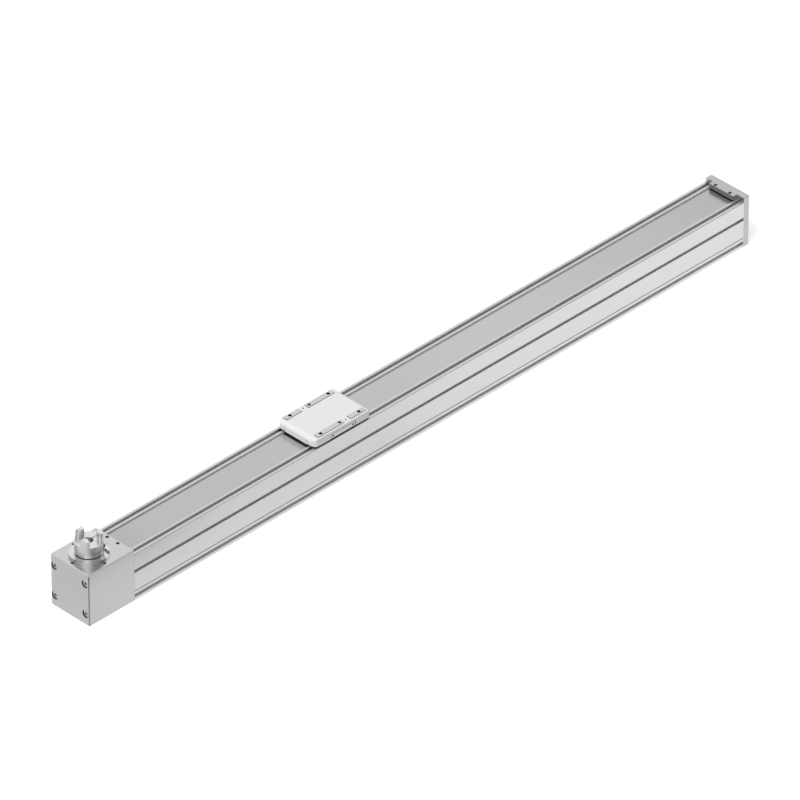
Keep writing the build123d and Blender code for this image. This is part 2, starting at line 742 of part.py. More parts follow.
# Pads that the set screws press on the strip, at each end
pad_span = (-strip_pad_width / 2, strip_pad_width / 2)
with BuildPart() as head_strip_pad:
    pad_top = z_channel + strip_slot_height - thread_gap
    box_between((strip_start, x_head_face - end_inset), pad_span, (z_strip_top, pad_top))
head_strip_pad.part.label = "head_strip_pad"
export_step(head_strip_pad.part, "parts/head_strip_pad.step")

with BuildPart() as cap_strip_pad:
    pad_top = end_height - tongue_height - thread_gap
    box_between((x_tongue + end_inset, strip_stop), pad_span, (z_strip_top, pad_top))
cap_strip_pad.part.label = "cap_strip_pad"
export_step(cap_strip_pad.part, "parts/cap_strip_pad.step")


def set_screw_shape(x, y, base, top):
    """A headless screw that stands on a pad, with a hexagon socket in its top."""
    rod((x, y, base), (0, 0, 1), set_screw_radius, top - base)
    with BuildSketch(Plane(origin=(x, y, top), z_dir=(0, 0, 1))) as hexagon:
        RegularPolygon(set_screw_socket, 6)
    extrude(hexagon.sketch, amount=-socket_depth, mode=Mode.SUBTRACT)


with BuildPart() as head_clamp_screws:
    for side in (-1, 1):
        x = x_head_face - head_clamp_inset
        base = z_channel + strip_slot_height - thread_gap
        set_screw_shape(x, side * head_clamp_offset, base, end_height - set_screw_recess)
head_clamp_screws.part.label = "head_clamp_screws"
export_step(head_clamp_screws.part, "parts/head_clamp_screws.step")

with BuildPart() as cap_clamp_screws:
    for side in (-1, 1):
        x = x_cap_face - cap_clamp_inset
        base = end_height - tongue_height - thread_gap
        set_screw_shape(x, side * cap_clamp_offset, base, end_height - set_screw_recess)
cap_clamp_screws.part.label = "cap_clamp_screws"
export_step(cap_clamp_screws.part, "parts/cap_clamp_screws.step")

# Fork that carries the idler's axle, drawn towards the cap by two screws
with BuildPart() as tension_fork:
    base_start = x_idler + belt_outer_radius + fork_base_gap
    arm_start = x_idler - fork_arm_reach
    base_stop = x_cap_face - fork_cap_gap
    fork_span = (-fork_width / 2, fork_width / 2)
    arm_span = (-fork_arm_width / 2, fork_arm_width / 2)
    box_between((base_start, base_stop), fork_span, (fork_low, fork_high))
    box_between((arm_start, base_start), arm_span, (fork_low, fork_low + fork_arm_thickness))
    box_between((arm_start, base_start), arm_span, (fork_high - fork_arm_thickness, fork_high))
    rod((x_idler, 0, fork_low), (0, 0, 1), axle_radius + seat_gap, fork_high - fork_low, mode=Mode.SUBTRACT)
    for side in (-1, 1):
        place = (base_stop, side * tension_screw_offset, belt_height)
        hole = base_stop - base_start
        rod(place, (-1, 0, 0), tension_screw_radius + thread_gap, hole, mode=Mode.SUBTRACT)
tension_fork.part.label = "tension_fork"
export_step(tension_fork.part, "parts/tension_fork.step")

with BuildPart() as idler_axle:
    rod((x_idler, 0, fork_low), (0, 0, 1), axle_radius, fork_high - fork_low)
idler_axle.part.label = "idler_axle"
export_step(idler_axle.part, "parts/idler_axle.step")

with BuildPart() as tension_screws:
    for side in (-1, 1):
        seat = x_cap_end - tension_screw_head_height - head_below_face
        place = (seat, side * tension_screw_offset, belt_height)
        rod(place, (1, 0, 0), tension_screw_head_radius, tension_screw_head_height)
        rod(place, (-1, 0, 0), tension_screw_radius, seat - base_start)
tension_screws.part.label = "tension_screws"
export_step(tension_screws.part, "parts/tension_screws.step")

idler_ring_radius = axle_radius + seat_gap + idler_ring_wall
with BuildPart() as idler_bearing_inner:
    ring_base = fork_low + fork_arm_thickness
    ring_height = fork_high - fork_low - 2 * fork_arm_thickness
    ring(x_idler, ring_base, ring_height, axle_radius + seat_gap, idler_ring_radius)
idler_bearing_inner.part.label = "idler_bearing_inner"
export_step(idler_bearing_inner.part, "parts/idler_bearing_inner.step")

idler_outer_start = idler_ring_radius + running_gap
idler_outer_stop = idler_outer_start + idler_ring_wall
with BuildPart() as idler_bearing_outer:
    ring(x_idler, z_flange_low, z_flange_high - z_flange_low, idler_outer_start, idler_outer_stop)
idler_bearing_outer.part.label = "idler_bearing_outer"
export_step(idler_bearing_outer.part, "parts/idler_bearing_outer.step")

with BuildPart() as idler_pulley:
    pulley(x_idler, idler_outer_stop + seat_gap)
idler_pulley.part.label = "idler_pulley"
export_step(idler_pulley.part, "parts/idler_pulley.step")

# Places of the belt clamps on the inner carriage, before and behind the middle
carriage_start = x_slide - carriage_length / 2
carriage_stop = x_slide + carriage_length / 2
clamp_inner_end = block_screw_spacing_x / 2 + block_screw_head_radius + clamp_screw_head_gap
clamp_length = carriage_length / 2 - clamp_end_inset - clamp_inner_end
clamp_spans = [
    (carriage_start + clamp_end_inset, carriage_start + clamp_end_inset + clamp_length),
    (carriage_stop - clamp_end_inset - clamp_length, carriage_stop - clamp_end_inset),
]

# Toothed belt: an open length with both ends in the clamps, toothed where it meshes
with BuildPart() as toothed_belt:
    centre = (x_drive + x_idler) / 2
    span = x_idler - x_drive
    with BuildSketch(Plane.XY.offset(z_belt)):
        with Locations((centre, 0)):
            SlotCenterToCenter(span, 2 * belt_outer_radius)
            SlotCenterToCenter(span, 2 * belt_inner_radius, mode=Mode.SUBTRACT)
        for x, first in ((x_drive, 90), (x_idler, -90)):
            with Locations((x, 0)):
                arc_teeth = pulley_teeth // 2 + 1
                with PolarLocations(belt_inner_radius, arc_teeth, first, 180, endpoint=True):
                    tooth(0)
        run_teeth = [x_drive + belt_pitch * step for step in range(1, lead_in_teeth + 1)]
        run_teeth += [x_idler - belt_pitch * step for step in range(1, lead_in_teeth + 1)]
        for side in (-1, 1):
            with Locations(*[straight_tooth_place(x, side) for x in run_teeth]):
                tooth(0)
        for start, stop in clamp_spans:
            with Locations(*[straight_tooth_place(x, -1) for x in belt_tooth_places(start, stop)]):
                tooth(0)
        gap_start = clamp_spans[0][1]
        gap_stop = clamp_spans[1][0]
        with Locations(((gap_start + gap_stop) / 2, -belt_inner_radius)):
            Rectangle(gap_stop - gap_start, 3 * belt_back, mode=Mode.SUBTRACT)
    extrude(amount=belt_width)
toothed_belt.part.label = "toothed_belt"
export_step(toothed_belt.part, "parts/toothed_belt.step")

# Guide rail with a ball track in each flank
with BuildPart() as guide_rail:
    with BuildSketch(Plane.YZ.offset(rail_start)):
        with Locations((0, z_rail + rail_height / 2)):
            Rectangle(rail_width, rail_height)
        for side in (-1, 1):
            with Locations((side * rail_width / 2, z_rail + rail_track_height)):
                Rectangle(rail_track_size * 2, rail_track_size * 2, rotation=45, mode=Mode.SUBTRACT)
    extrude(amount=rail_length)
    for hole in range(rail_holes):
        x = rail_first_hole + hole * rail_hole_pitch
        rod((x, 0, z_rail), (0, 0, 1), rail_screw_radius + screw_gap, rail_height, mode=Mode.SUBTRACT)
        depth = rail_screw_head_height + head_below_face
        rod((x, 0, z_rail_top), (0, 0, -1), rail_screw_head_radius + screw_gap, depth, mode=Mode.SUBTRACT)
guide_rail.part.label = "guide_rail"
export_step(guide_rail.part, "parts/guide_rail.step")

with BuildPart() as guide_rail_screws:
    seat = z_rail_top - rail_screw_head_height - head_below_face
    for hole in range(rail_holes):
        place = (rail_first_hole + hole * rail_hole_pitch, 0, seat)
        rod(place, (0, 0, 1), rail_screw_head_radius, rail_screw_head_height)
        rod(place, (0, 0, -1), rail_screw_radius, seat - rail_screw_floor)
guide_rail_screws.part.label = "guide_rail_screws"
export_step(guide_rail_screws.part, "parts/guide_rail_screws.step")


def block_section(gap):
    """Section of the guide block round the rail, with a given gap to the rail."""
    base = floor_thickness + block_above_floor
    with Locations((0, (base + z_block_top) / 2)):
        Rectangle(block_width, z_block_top - base)
    with Locations((0, (base + z_rail_top + gap) / 2)):
        Rectangle(rail_width + 2 * gap, z_rail_top + gap - base, mode=Mode.SUBTRACT)


# Guide block that runs on the rail, and the seals on its ends
with BuildPart() as guide_block:
    with BuildSketch(Plane.YZ.offset(x_slide - block_length / 2)):
        block_section(block_gap)
        for side in (-1, 1):
            with Locations((side * (rail_width / 2 + block_gap), z_rail + rail_track_height)):
                Rectangle(2 * ball_radius, 2 * ball_radius, rotation=45, mode=Mode.SUBTRACT)
    extrude(amount=block_length)
    with Locations((x_slide, 0, z_block_top)):
        with GridLocations(block_screw_spacing_x, block_screw_spacing_y, 2, 2):
            depth = block_screw_reach + thread_gap
            Cylinder(block_screw_radius + thread_gap, 2 * depth, mode=Mode.SUBTRACT)
guide_block.part.label = "guide_block"
export_step(guide_block.part, "parts/guide_block.step")

with BuildPart() as block_end_seals:
    for start in (x_slide - block_length / 2 - end_seal_thickness, x_slide + block_length / 2):
        with BuildSketch(Plane.YZ.offset(start)):
            block_section(block_gap)
        extrude(amount=end_seal_thickness)
block_end_seals.part.label = "block_end_seals"
export_step(block_end_seals.part, "parts/block_end_seals.step")

# Balls between the block and the rail, the outer ones of those under load on each side
with BuildPart() as guide_balls:
    ball_offset = rail_width / 2 + block_gap / 2
    with Locations((x_slide, 0, z_rail + rail_track_height)):
        with GridLocations(ball_spacing, 2 * ball_offset, balls_per_row, 2):
            Sphere(ball_radius)
guide_balls.part.label = "guide_balls"
export_step(guide_balls.part, "parts/guide_balls.step")

# Body of the slide: base on the block, web, neck through the slot and top block
body_width = slide_width - 2 * cover_side_wall - 2 * cover_fit
body_length = slide_length - 2 * cover_end_wall - 2 * cover_fit
long_pad_start = long_pad_inset - slide_length / 2
short_pad_stop = slide_length / 2 - short_pad_inset
short_pad = (short_pad_stop - short_pad_length, short_pad_stop)
long_pad = (long_pad_start, short_pad[0] - pad_spacing)
oil_hole_x = (long_pad[1] + short_pad[0]) / 2


def pad_outlines(growth, mode=Mode.ADD):
    """The four raised pads seen from above: the far side is the near one turned half round."""
    for side in (-1, 1):
        for start, stop in (long_pad, short_pad):
            with Locations((-side * (start + stop) / 2, side * pad_offset)):
                length = stop - start + 2 * growth
                RectangleRounded(length, pad_width + 2 * growth, pad_radius + growth, mode=mode)


with BuildPart() as slide_body:
    carriage_x = (carriage_start, carriage_stop)
    base_y = (-carriage_base_width / 2, carriage_base_width / 2)
    box_between(carriage_x, base_y, (z_block_top, z_base_top))
    box_between(carriage_x, (-web_width / 2, web_width / 2), (z_base_top, z_neck))
    box_between(carriage_x, (-neck_width / 2, neck_width / 2), (z_neck, z_slide))
    body_x = (x_slide - body_length / 2, x_slide + body_length / 2)
    box_between(body_x, (-body_width / 2, body_width / 2), (z_slide, z_body_top))
    plate_x = (x_slide - side_plate_length / 2, x_slide + side_plate_length / 2)
    plate_y = slide_width / 2 - side_plate_inset
    box_between(plate_x, (-plate_y, plate_y), (z_slide, z_slide + side_plate_height))
    with BuildSketch(Plane(origin=(x_slide, 0, z_body_top), z_dir=(0, 0, 1))):
        pad_outlines(0)
    extrude(amount=z_pad - z_body_top)
    half = strip_thickness / 2
    with BuildSketch(Plane.XZ.offset(-channel_width / 2 - cover_fit)):
        with BuildLine():
            Polyline(*strip_outline(half + strip_gap, half + strip_gap, slide_length), close=True)
        make_face()
    extrude(amount=channel_width + 2 * cover_fit, mode=Mode.SUBTRACT)
    pocket_start = deflector_start - deflector_fit
    pocket_top = z_slide + deflector_top + deflector_fit
    for side in (-1, 1):
        stations = (pocket_start, strip_ramp_half, slide_length)
        low = [(x_slide + side * x, strip_height(x)) for x in stations]
        high = [(x_slide + side * slide_length, pocket_top), (x_slide + side * pocket_start, pocket_top)]
        with BuildSketch(Plane.XZ.offset(-deflector_width / 2 - deflector_fit)):
            with BuildLine():
                Polyline(*low, *high, close=True)
            make_face()
        extrude(amount=deflector_width + 2 * deflector_fit, mode=Mode.SUBTRACT)
    with Locations((x_slide, 0, z_pad)):
        with GridLocations(slide_hole_spacing_x, slide_hole_spacing_y, 2, 2):
            Hole(slide_hole_radius, z_pad - z_slide)
    for side in (-1, 1):
        place = (x_slide, side * pin_hole_offset, z_pad)
        rod(place, (0, 0, -1), pin_hole_radius, pin_hole_depth, mode=Mode.SUBTRACT)
        place = (x_slide - side * oil_hole_x, side * oil_hole_y, z_body_top)
        rod(place, (0, 0, -1), oil_hole_radius, pin_hole_depth, mode=Mode.SUBTRACT)
        for step in (-0.5, 0.5):
            place = (x_slide + step * side_hole_spacing, side * plate_y, z_slide + side_hole_height)
            rod(place, (0, -side, 0), side_hole_radius, side_hole_depth, mode=Mode.SUBTRACT)
    for x, z in clamp_screw_places():
        depth = clamp_screw_reach + thread_gap
        hole_radius = clamp_screw_radius + thread_gap
        rod((x, -web_width / 2, z), (0, 1, 0), hole_radius, depth, mode=Mode.SUBTRACT)
    with Locations((x_slide, 0, z_base_top)):
        with GridLocations(block_screw_spacing_x, block_screw_spacing_y, 2, 2):
            Hole(block_screw_radius + screw_gap, carriage_base_thickness)
slide_body.part.label = "slide_body"
export_step(slide_body.part, "parts/slide_body.step")

with BuildPart() as block_screws:
    with Locations((x_slide, 0, z_base_top)):
        with GridLocations(block_screw_spacing_x, block_screw_spacing_y, 2, 2):
            up = (Align.CENTER, Align.CENTER, Align.MIN)
            down = (Align.CENTER, Align.CENTER, Align.MAX)
            Cylinder(block_screw_head_radius, block_screw_head_height, align=up)
            Cylinder(block_screw_radius, carriage_base_thickness + block_screw_reach, align=down)
block_screws.part.label = "block_screws"
export_step(block_screws.part, "parts/block_screws.step")

# Belt clamps: toothed jaws against the web and flat plates outside the belt
clamp_z = (belt_height - clamp_height / 2, belt_height + clamp_height / 2)
clamp_hole_radius = clamp_screw_radius + screw_gap / 2
with BuildPart() as belt_clamp_jaws:
    for start, stop in clamp_spans:
        with BuildSketch(Plane.XY.offset(clamp_z[0])):
            with Locations(((start + stop) / 2, -(web_width / 2 + pulley_radius) / 2)):
                Rectangle(stop - start, pulley_radius - web_width / 2)
            with Locations(*[straight_tooth_place(x, -1) for x in belt_tooth_places(start, stop)]):
                tooth(groove_gap, mode=Mode.SUBTRACT)
        extrude(amount=clamp_height)
    for x, z in clamp_screw_places():
        rod((x, 0, z), (0, -1, 0), clamp_hole_radius, slide_width, mode=Mode.SUBTRACT)
belt_clamp_jaws.part.label = "belt_clamp_jaws"
export_step(belt_clamp_jaws.part, "parts/belt_clamp_jaws.step")

plate_inner = belt_outer_radius + belt_gap
plate_outer = plate_inner + clamp_plate_thickness
with BuildPart() as belt_clamp_plates:
    for span in clamp_spans:
        box_between(span, (-plate_outer, -plate_inner), clamp_z)
    for x, z in clamp_screw_places():
        rod((x, 0, z), (0, -1, 0), clamp_hole_radius, slide_width, mode=Mode.SUBTRACT)
belt_clamp_plates.part.label = "belt_clamp_plates"
export_step(belt_clamp_plates.part, "parts/belt_clamp_plates.step")

with BuildPart() as belt_clamp_screws:
    shank = plate_outer - web_width / 2 + clamp_screw_reach
    for x, z in clamp_screw_places():
        rod((x, -plate_outer, z), (0, -1, 0), clamp_screw_head_radius, clamp_screw_head_height)
        rod((x, -plate_outer, z), (0, 1, 0), clamp_screw_radius, shank)
belt_clamp_screws.part.label = "belt_clamp_screws"
export_step(belt_clamp_screws.part, "parts/belt_clamp_screws.step")

# Light cover of the slide, open under the pads, over the side plates and at the strip
with BuildPart() as slide_cover:
    with BuildSketch(Plane(origin=(x_slide, 0, z_slide), z_dir=(0, 0, 1))):
        RectangleRounded(slide_length, slide_width, slide_corner_radius)
    extrude(amount=slide_height)
    with BuildSketch(Plane.XZ.offset(-slide_width / 2)):
        with Locations((x_slide, z_slide)):
            RectangleRounded(slide_length + slide_end_crease, 2 * slide_height, slide_end_radius)
    extrude(amount=slide_width, mode=Mode.INTERSECT)
    rim = slide_cover.faces().sort_by(Axis.Z)[-1].edges().group_by(Axis.Y)
    fillet(rim[0] + rim[-1], slide_edge_radius)
    inner_x = slide_length / 2 - cover_end_wall
    inner_y = slide_width / 2 - cover_side_wall
    hollow_x = (x_slide - inner_x, x_slide + inner_x)
    box_between(hollow_x, (-inner_y, inner_y), (z_slide, z_body_top + cover_fit), mode=Mode.SUBTRACT)
    with BuildSketch(Plane(origin=(x_slide, 0, z_body_top), z_dir=(0, 0, 1))):
        pad_outlines(pad_fit)
    extrude(amount=slide_height, mode=Mode.SUBTRACT)
    opening_x = (plate_x[0] - pad_fit, plate_x[1] + pad_fit)
    opening_z = (z_slide, z_slide + side_plate_height + pad_fit)
    box_between(opening_x, (-slide_width, slide_width), opening_z, mode=Mode.SUBTRACT)
    mouth_y = deflector_width / 2 + deflector_fit
    mouth_z = (z_slide, z_slide + deflector_top + deflector_fit)
    mouth_x = (x_slide - slide_length, x_slide + slide_length)
    box_between(mouth_x, (-mouth_y, mouth_y), mouth_z, mode=Mode.SUBTRACT)
    for side in (-1, 1):
        place = (x_slide - side * oil_hole_x, side * oil_hole_y, z_slide_top)
        rod(place, (0, 0, -1), oil_hole_radius, cover_top_wall, mode=Mode.SUBTRACT)
slide_cover.part.label = "slide_cover"
export_step(slide_cover.part, "parts/slide_cover.step")


def deflector(side):
    """End piece of the slide whose sloping underside presses the strip back into its channel."""
    clear = strip_thickness / 2 + strip_gap / 2
    bottom = z_strip_top + deflector_bottom_gap
    top = z_slide + deflector_top
    face = slide_length / 2
    outline = [
        (deflector_start, top),
        (deflector_start, strip_height(deflector_start) + clear),
        (strip_ramp_half, strip_height(strip_ramp_half) + clear),
        (strip_ramp_half + deflector_bottom_gap / 2, bottom),
        (face, bottom),
        (face, top - deflector_edge),
        (face - deflector_edge, top),
    ]
    with BuildSketch(Plane.XZ.offset(-deflector_width / 2)) as section:
        with BuildLine():
            Polyline(*[(x_slide + side * x, z) for x, z in outline], close=True)
        make_face()
    extrude(section.sketch, amount=deflector_width)


with BuildPart() as front_deflector:
    deflector(-1)
front_deflector.part.label = "front_deflector"
export_step(front_deflector.part, "parts/front_deflector.step")

with BuildPart() as rear_deflector:
    deflector(1)
rear_deflector.part.label = "rear_deflector"
export_step(rear_deflector.part, "parts/rear_deflector.step")

# Rubber lips under the deflectors that sweep the strip
with BuildPart() as strip_wipers:
    wiper_x = (slide_length / 2 - wiper_inset - wiper_length, slide_length / 2 - wiper_inset)
    wiper_y = (-deflector_width / 2, deflector_width / 2)
    wiper_z = (z_strip_top + wiper_lift, z_strip_top + deflector_bottom_gap)
    for side in (-1, 1):
        ends = sorted((x_slide + side * wiper_x[0], x_slide + side * wiper_x[1]))
        box_between(tuple(ends), wiper_y, wiper_z)
strip_wipers.part.label = "strip_wipers"
export_step(strip_wipers.part, "parts/strip_wipers.step")

# Rubber buffers that stop the carriage at the ends of its travel
buffer_y = (-buffer_width / 2, buffer_width / 2)
buffer_top = fork_low - buffer_fork_gap
buffer_z = (buffer_top - buffer_height, buffer_top)
with BuildPart() as head_buffer:
    stop = x_slide_min - carriage_length / 2 - buffer_gap
    box_between((x_head_face, stop), buffer_y, buffer_z)
    fillet(head_buffer.faces().sort_by(Axis.X)[-1].edges(), buffer_gap)
head_buffer.part.label = "head_buffer"
export_step(head_buffer.part, "parts/head_buffer.step")

with BuildPart() as cap_buffer:
    start = x_slide_max + carriage_length / 2 + buffer_gap
    box_between((start, x_cap_face), buffer_y, buffer_z)
    fillet(cap_buffer.faces().sort_by(Axis.X)[0].edges(), buffer_gap)
cap_buffer.part.label = "cap_buffer"
export_step(cap_buffer.part, "parts/cap_buffer.step")

print("stroke", x_slide_max - x_slide_min, "rest from the first end", x_slide - x_slide_min)
print("slide middle", x_slide, "drive axis", x_drive, "idler axis", x_idler, "pitch radius", pitch_radius)
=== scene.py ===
"""Dresses a belt driven linear axis for its portrait: finishes, steel strip, belt and studio.

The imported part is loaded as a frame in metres. X runs along the travel, Y across, Z up.
"""
import functools
import math

import bmesh
import bpy
from bpy.props import FloatProperty, FloatVectorProperty, PointerProperty
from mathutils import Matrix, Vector


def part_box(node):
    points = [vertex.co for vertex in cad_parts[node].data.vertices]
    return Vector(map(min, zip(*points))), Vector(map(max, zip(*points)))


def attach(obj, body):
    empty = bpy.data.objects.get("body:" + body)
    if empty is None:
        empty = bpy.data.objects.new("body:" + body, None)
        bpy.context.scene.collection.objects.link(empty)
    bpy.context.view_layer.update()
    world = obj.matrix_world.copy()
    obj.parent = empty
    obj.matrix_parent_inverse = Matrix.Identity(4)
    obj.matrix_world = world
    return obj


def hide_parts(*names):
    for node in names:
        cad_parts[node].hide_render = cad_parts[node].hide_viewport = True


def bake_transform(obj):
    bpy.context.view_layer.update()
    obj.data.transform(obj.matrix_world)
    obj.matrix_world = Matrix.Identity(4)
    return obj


bl_info = {
    "name": "Belt Axis Dresser",
    "version": (1, 0, 0),
    "blender": (4, 5, 0),
    "location": "3D View > Sidebar > Belt Axis",
    "description": "Finishes the pieces of a belt driven linear axis and sets up its studio",
    "category": "Object",
}

MM = 0.001

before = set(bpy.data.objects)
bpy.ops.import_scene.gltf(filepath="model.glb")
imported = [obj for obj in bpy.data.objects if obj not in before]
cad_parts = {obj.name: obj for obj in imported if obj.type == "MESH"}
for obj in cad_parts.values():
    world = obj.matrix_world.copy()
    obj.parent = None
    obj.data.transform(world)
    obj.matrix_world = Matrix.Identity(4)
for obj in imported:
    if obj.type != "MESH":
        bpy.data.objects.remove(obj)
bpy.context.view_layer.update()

# Places read from the frame, in metres
HEAD_LOW, HEAD_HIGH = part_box("drive_head")
CAP_LOW, CAP_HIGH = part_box("end_cap")
PROFILE_LOW, PROFILE_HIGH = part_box("profile_housing")
SLIDE_LOW, SLIDE_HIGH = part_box("slide_cover")
STRIP_LOW, STRIP_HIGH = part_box("cover_strip")
BELT_LOW, BELT_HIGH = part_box("toothed_belt")
HUB_LOW, HUB_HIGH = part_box("coupling_hub")
SLIDE_MIDDLE = (SLIDE_LOW.x + SLIDE_HIGH.x) / 2
SLIDE_HALF = (SLIDE_HIGH.x - SLIDE_LOW.x) / 2
DRIVE_AXIS = (HUB_LOW.x + HUB_HIGH.x) / 2

# Bands of the profile's section that have a finish of their own
TOP_EDGE_DEPTH = 3.0 * MM
GROOVE_FLOOR_DEPTHS = (2.5 * MM, 5.0 * MM)
SIDE_GROOVE_HEIGHTS = (34.0 * MM, 42.5 * MM)
SIDE_SKIN = 0.3 * MM
CHANNEL_HALF = 19.5 * MM
CHANNEL_DEPTH = 1.9 * MM

# Reach of the roundings at the edges of the head and the cap
ROUNDING = 1.9 * MM

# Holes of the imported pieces. X is from the slide's middle, Y from the part's middle line, a reach
# from the drive axis, a height from the ground and a rise from the slide's lower side
END_SCREW_Y = 23.75 * MM
END_SCREW_HEIGHTS = (13.5 * MM, 53.0 * MM)
COUNTERBORE_RADIUS = 4.75 * MM
MOTOR_HOLE_REACH = 24.5 * MM
MOTOR_HOLE_RADIUS = 1.65 * MM
LOAD_THREAD_X = 29.25 * MM
LOAD_THREAD_Y = 23.75 * MM
LOAD_THREAD_RADIUS = 2.1 * MM
PLATE_THREAD_X = 15.25 * MM
PLATE_THREAD_RISE = 2.7 * MM
PLATE_THREAD_RADIUS = 1.25 * MM
OIL_HOLE_X = 9.0 * MM
OIL_HOLE_Y = 24.1 * MM
OIL_HOLE_RADIUS = 1.0 * MM

# Pads, side plates and end pieces of the slide. A pad's span counts from the slide's middle, towards
# the cap on the side of negative Y and towards the head on the other
PAD_SPANS = ((-36.0 * MM, 4.0 * MM), (14.0 * MM, 37.0 * MM))
PAD_WIDTH = 6.4 * MM
PAD_OFFSET = 23.6 * MM
PLATE_HALF = 18.5 * MM
PLATE_HEIGHT = 5.3 * MM
END_PIECE_HALF = 17.3 * MM
END_SHADE_LIP_HALF = 17.1 * MM

# Notch in the collar, from the drive axis and the head's top
NOTCH_X = (-15.1 * MM, 0.5 * MM)
NOTCH_Y = (8.6 * MM, 23.0 * MM)
NOTCH_HEIGHTS = (1.3 * MM, 4.5 * MM)

# Painted light on the rolled strip: its brightness by metres along it, lighter in its middle
STRIP_PAINTED_LIGHT = ((-0.46, 0.8), (-0.38, 0.9), (-0.1, 0.93), (0.15, 1.0), (0.33, 0.93), (0.5, 0.86))

# Painted reflection: brightness of the paper in the metal, set by place. It rises along the part, and falls
# to a painted dark patch beside the head. Places in metres
PAINTED_REFLECTION_ALONG = ((-0.56, 0.78), (-0.46, 0.86), (0.5, 1.0))
PAINTED_REFLECTION_DARK_Y = ((-0.14, 0.08), (-0.1, 1.0))
PAINTED_REFLECTION_DARK_X = ((-0.34, 0.08), (-0.24, 1.0))

# Brightness of the studio's walls, by degrees round the vertical from +X towards +Y
WALLS = (
    (-180, 0.6),
    (-158, 1.25),
    (-133, 1.0),
    (-112, 0.4),
    (-98, 0.22),
    (-38, 0.22),
    (-22, 0.4),
    (-6, 0.85),
    (20, 0.87),
    (60, 1.0),
    (85, 0.7),
    (120, 0.42),
    (160, 0.42),
    (180, 0.6),
)

# The plain wall at their foot, and the degrees up over which it ends and the ceiling starts
PLAIN_WALL = 0.62
PLAIN_WALL_ENDS = (14, 27)
CEILING_STARTS = (45, 65)

# Light on the part from all round, and what the paper adds to its own for the camera
ROOM_LIGHT = 0.5
PAPER_GLOW = 0.45

# The lamp: the direction it shines from, its strength, and its width in degrees
LAMP_FROM = (-0.38, -0.03, 0.48)
LAMP_ENERGY = 1.95
LAMP_ANGLE = 40

# The camera: directions in degrees, places in metres, lens and sensor in millimetres
CAMERA_AZIMUTH = 225.05667
CAMERA_ELEVATION = 35.34454
CAMERA_DISTANCE = 11.9063
CAMERA_TARGET = (0.019476, 0.032214, 0.0)
CAMERA_LENS = 486.0433
CAMERA_SENSOR = 36.0


def colour(text):
    """Turns an sRGB hex value into a linear colour."""
    channels = [int(text[place : place + 2], 16) / 255 for place in (0, 2, 4)]
    return [c / 12.92 if c <= 0.04045 else ((c + 0.055) / 1.055) ** 2.4 for c in channels]


def shade(name, text, description):
    """A colour that a user may change."""
    return FloatVectorProperty(
        name=name, description=description, subtype="COLOR", size=3, min=0, max=1, default=colour(text)
    )


def length(name, millimetres, description):
    """A length that a user may change."""
    return FloatProperty(name=name, description=description, unit="LENGTH", min=0, default=millimetres * MM)


class BeltAxisSizes(bpy.types.PropertyGroup):
    """Sizes of the pieces modelled here."""

    strip_thickness: length("Strip thickness", 0.3, "Thickness of the steel cover strip")
    strip_inset: length("Strip inset", 3.3, "How far inside the slide's ends the strip climbs")
    strip_ramp: length("Strip ramp", 18.0, "Length over which the strip climbs inside the slide")
    strip_overlap: length("Strip overlap", 0.8, "Flat part of the strip that travels with the slide")
    belt_back: length("Belt back", 1.23, "Thickness of the belt behind its teeth")
    belt_stub: length("Belt stub", 22.0, "Straight length of toothed belt beside each pulley")
    clamped_belt: length("Clamped belt", 21.0, "Length of belt that each clamp holds")
    # The lips and seals are black pieces that paint the shade in the slide's gaps
    shade_lip_width: length("Lip width", 1.65, "Width of the lips under the slide's sides")
    shade_lip_length: length("Lip length", 1.0, "Length of the lips under the slide's end pieces")
    shade_seal_width: length("Seal width", 0.36, "Width of the seals beside pads and end pieces")
    shade_seal_depth: length("Seal depth", 0.8, "How deep the seals beside the pads reach")
    plate_shade_line: length("Plate line", 0.5, "Width of the seals round the side plates")
    screw_sink: length("Screw sink", 0.9, "How much deeper the heads of the end screws lie")
    floor_size: length("Floor size", 12000.0, "Width of the studio floor")


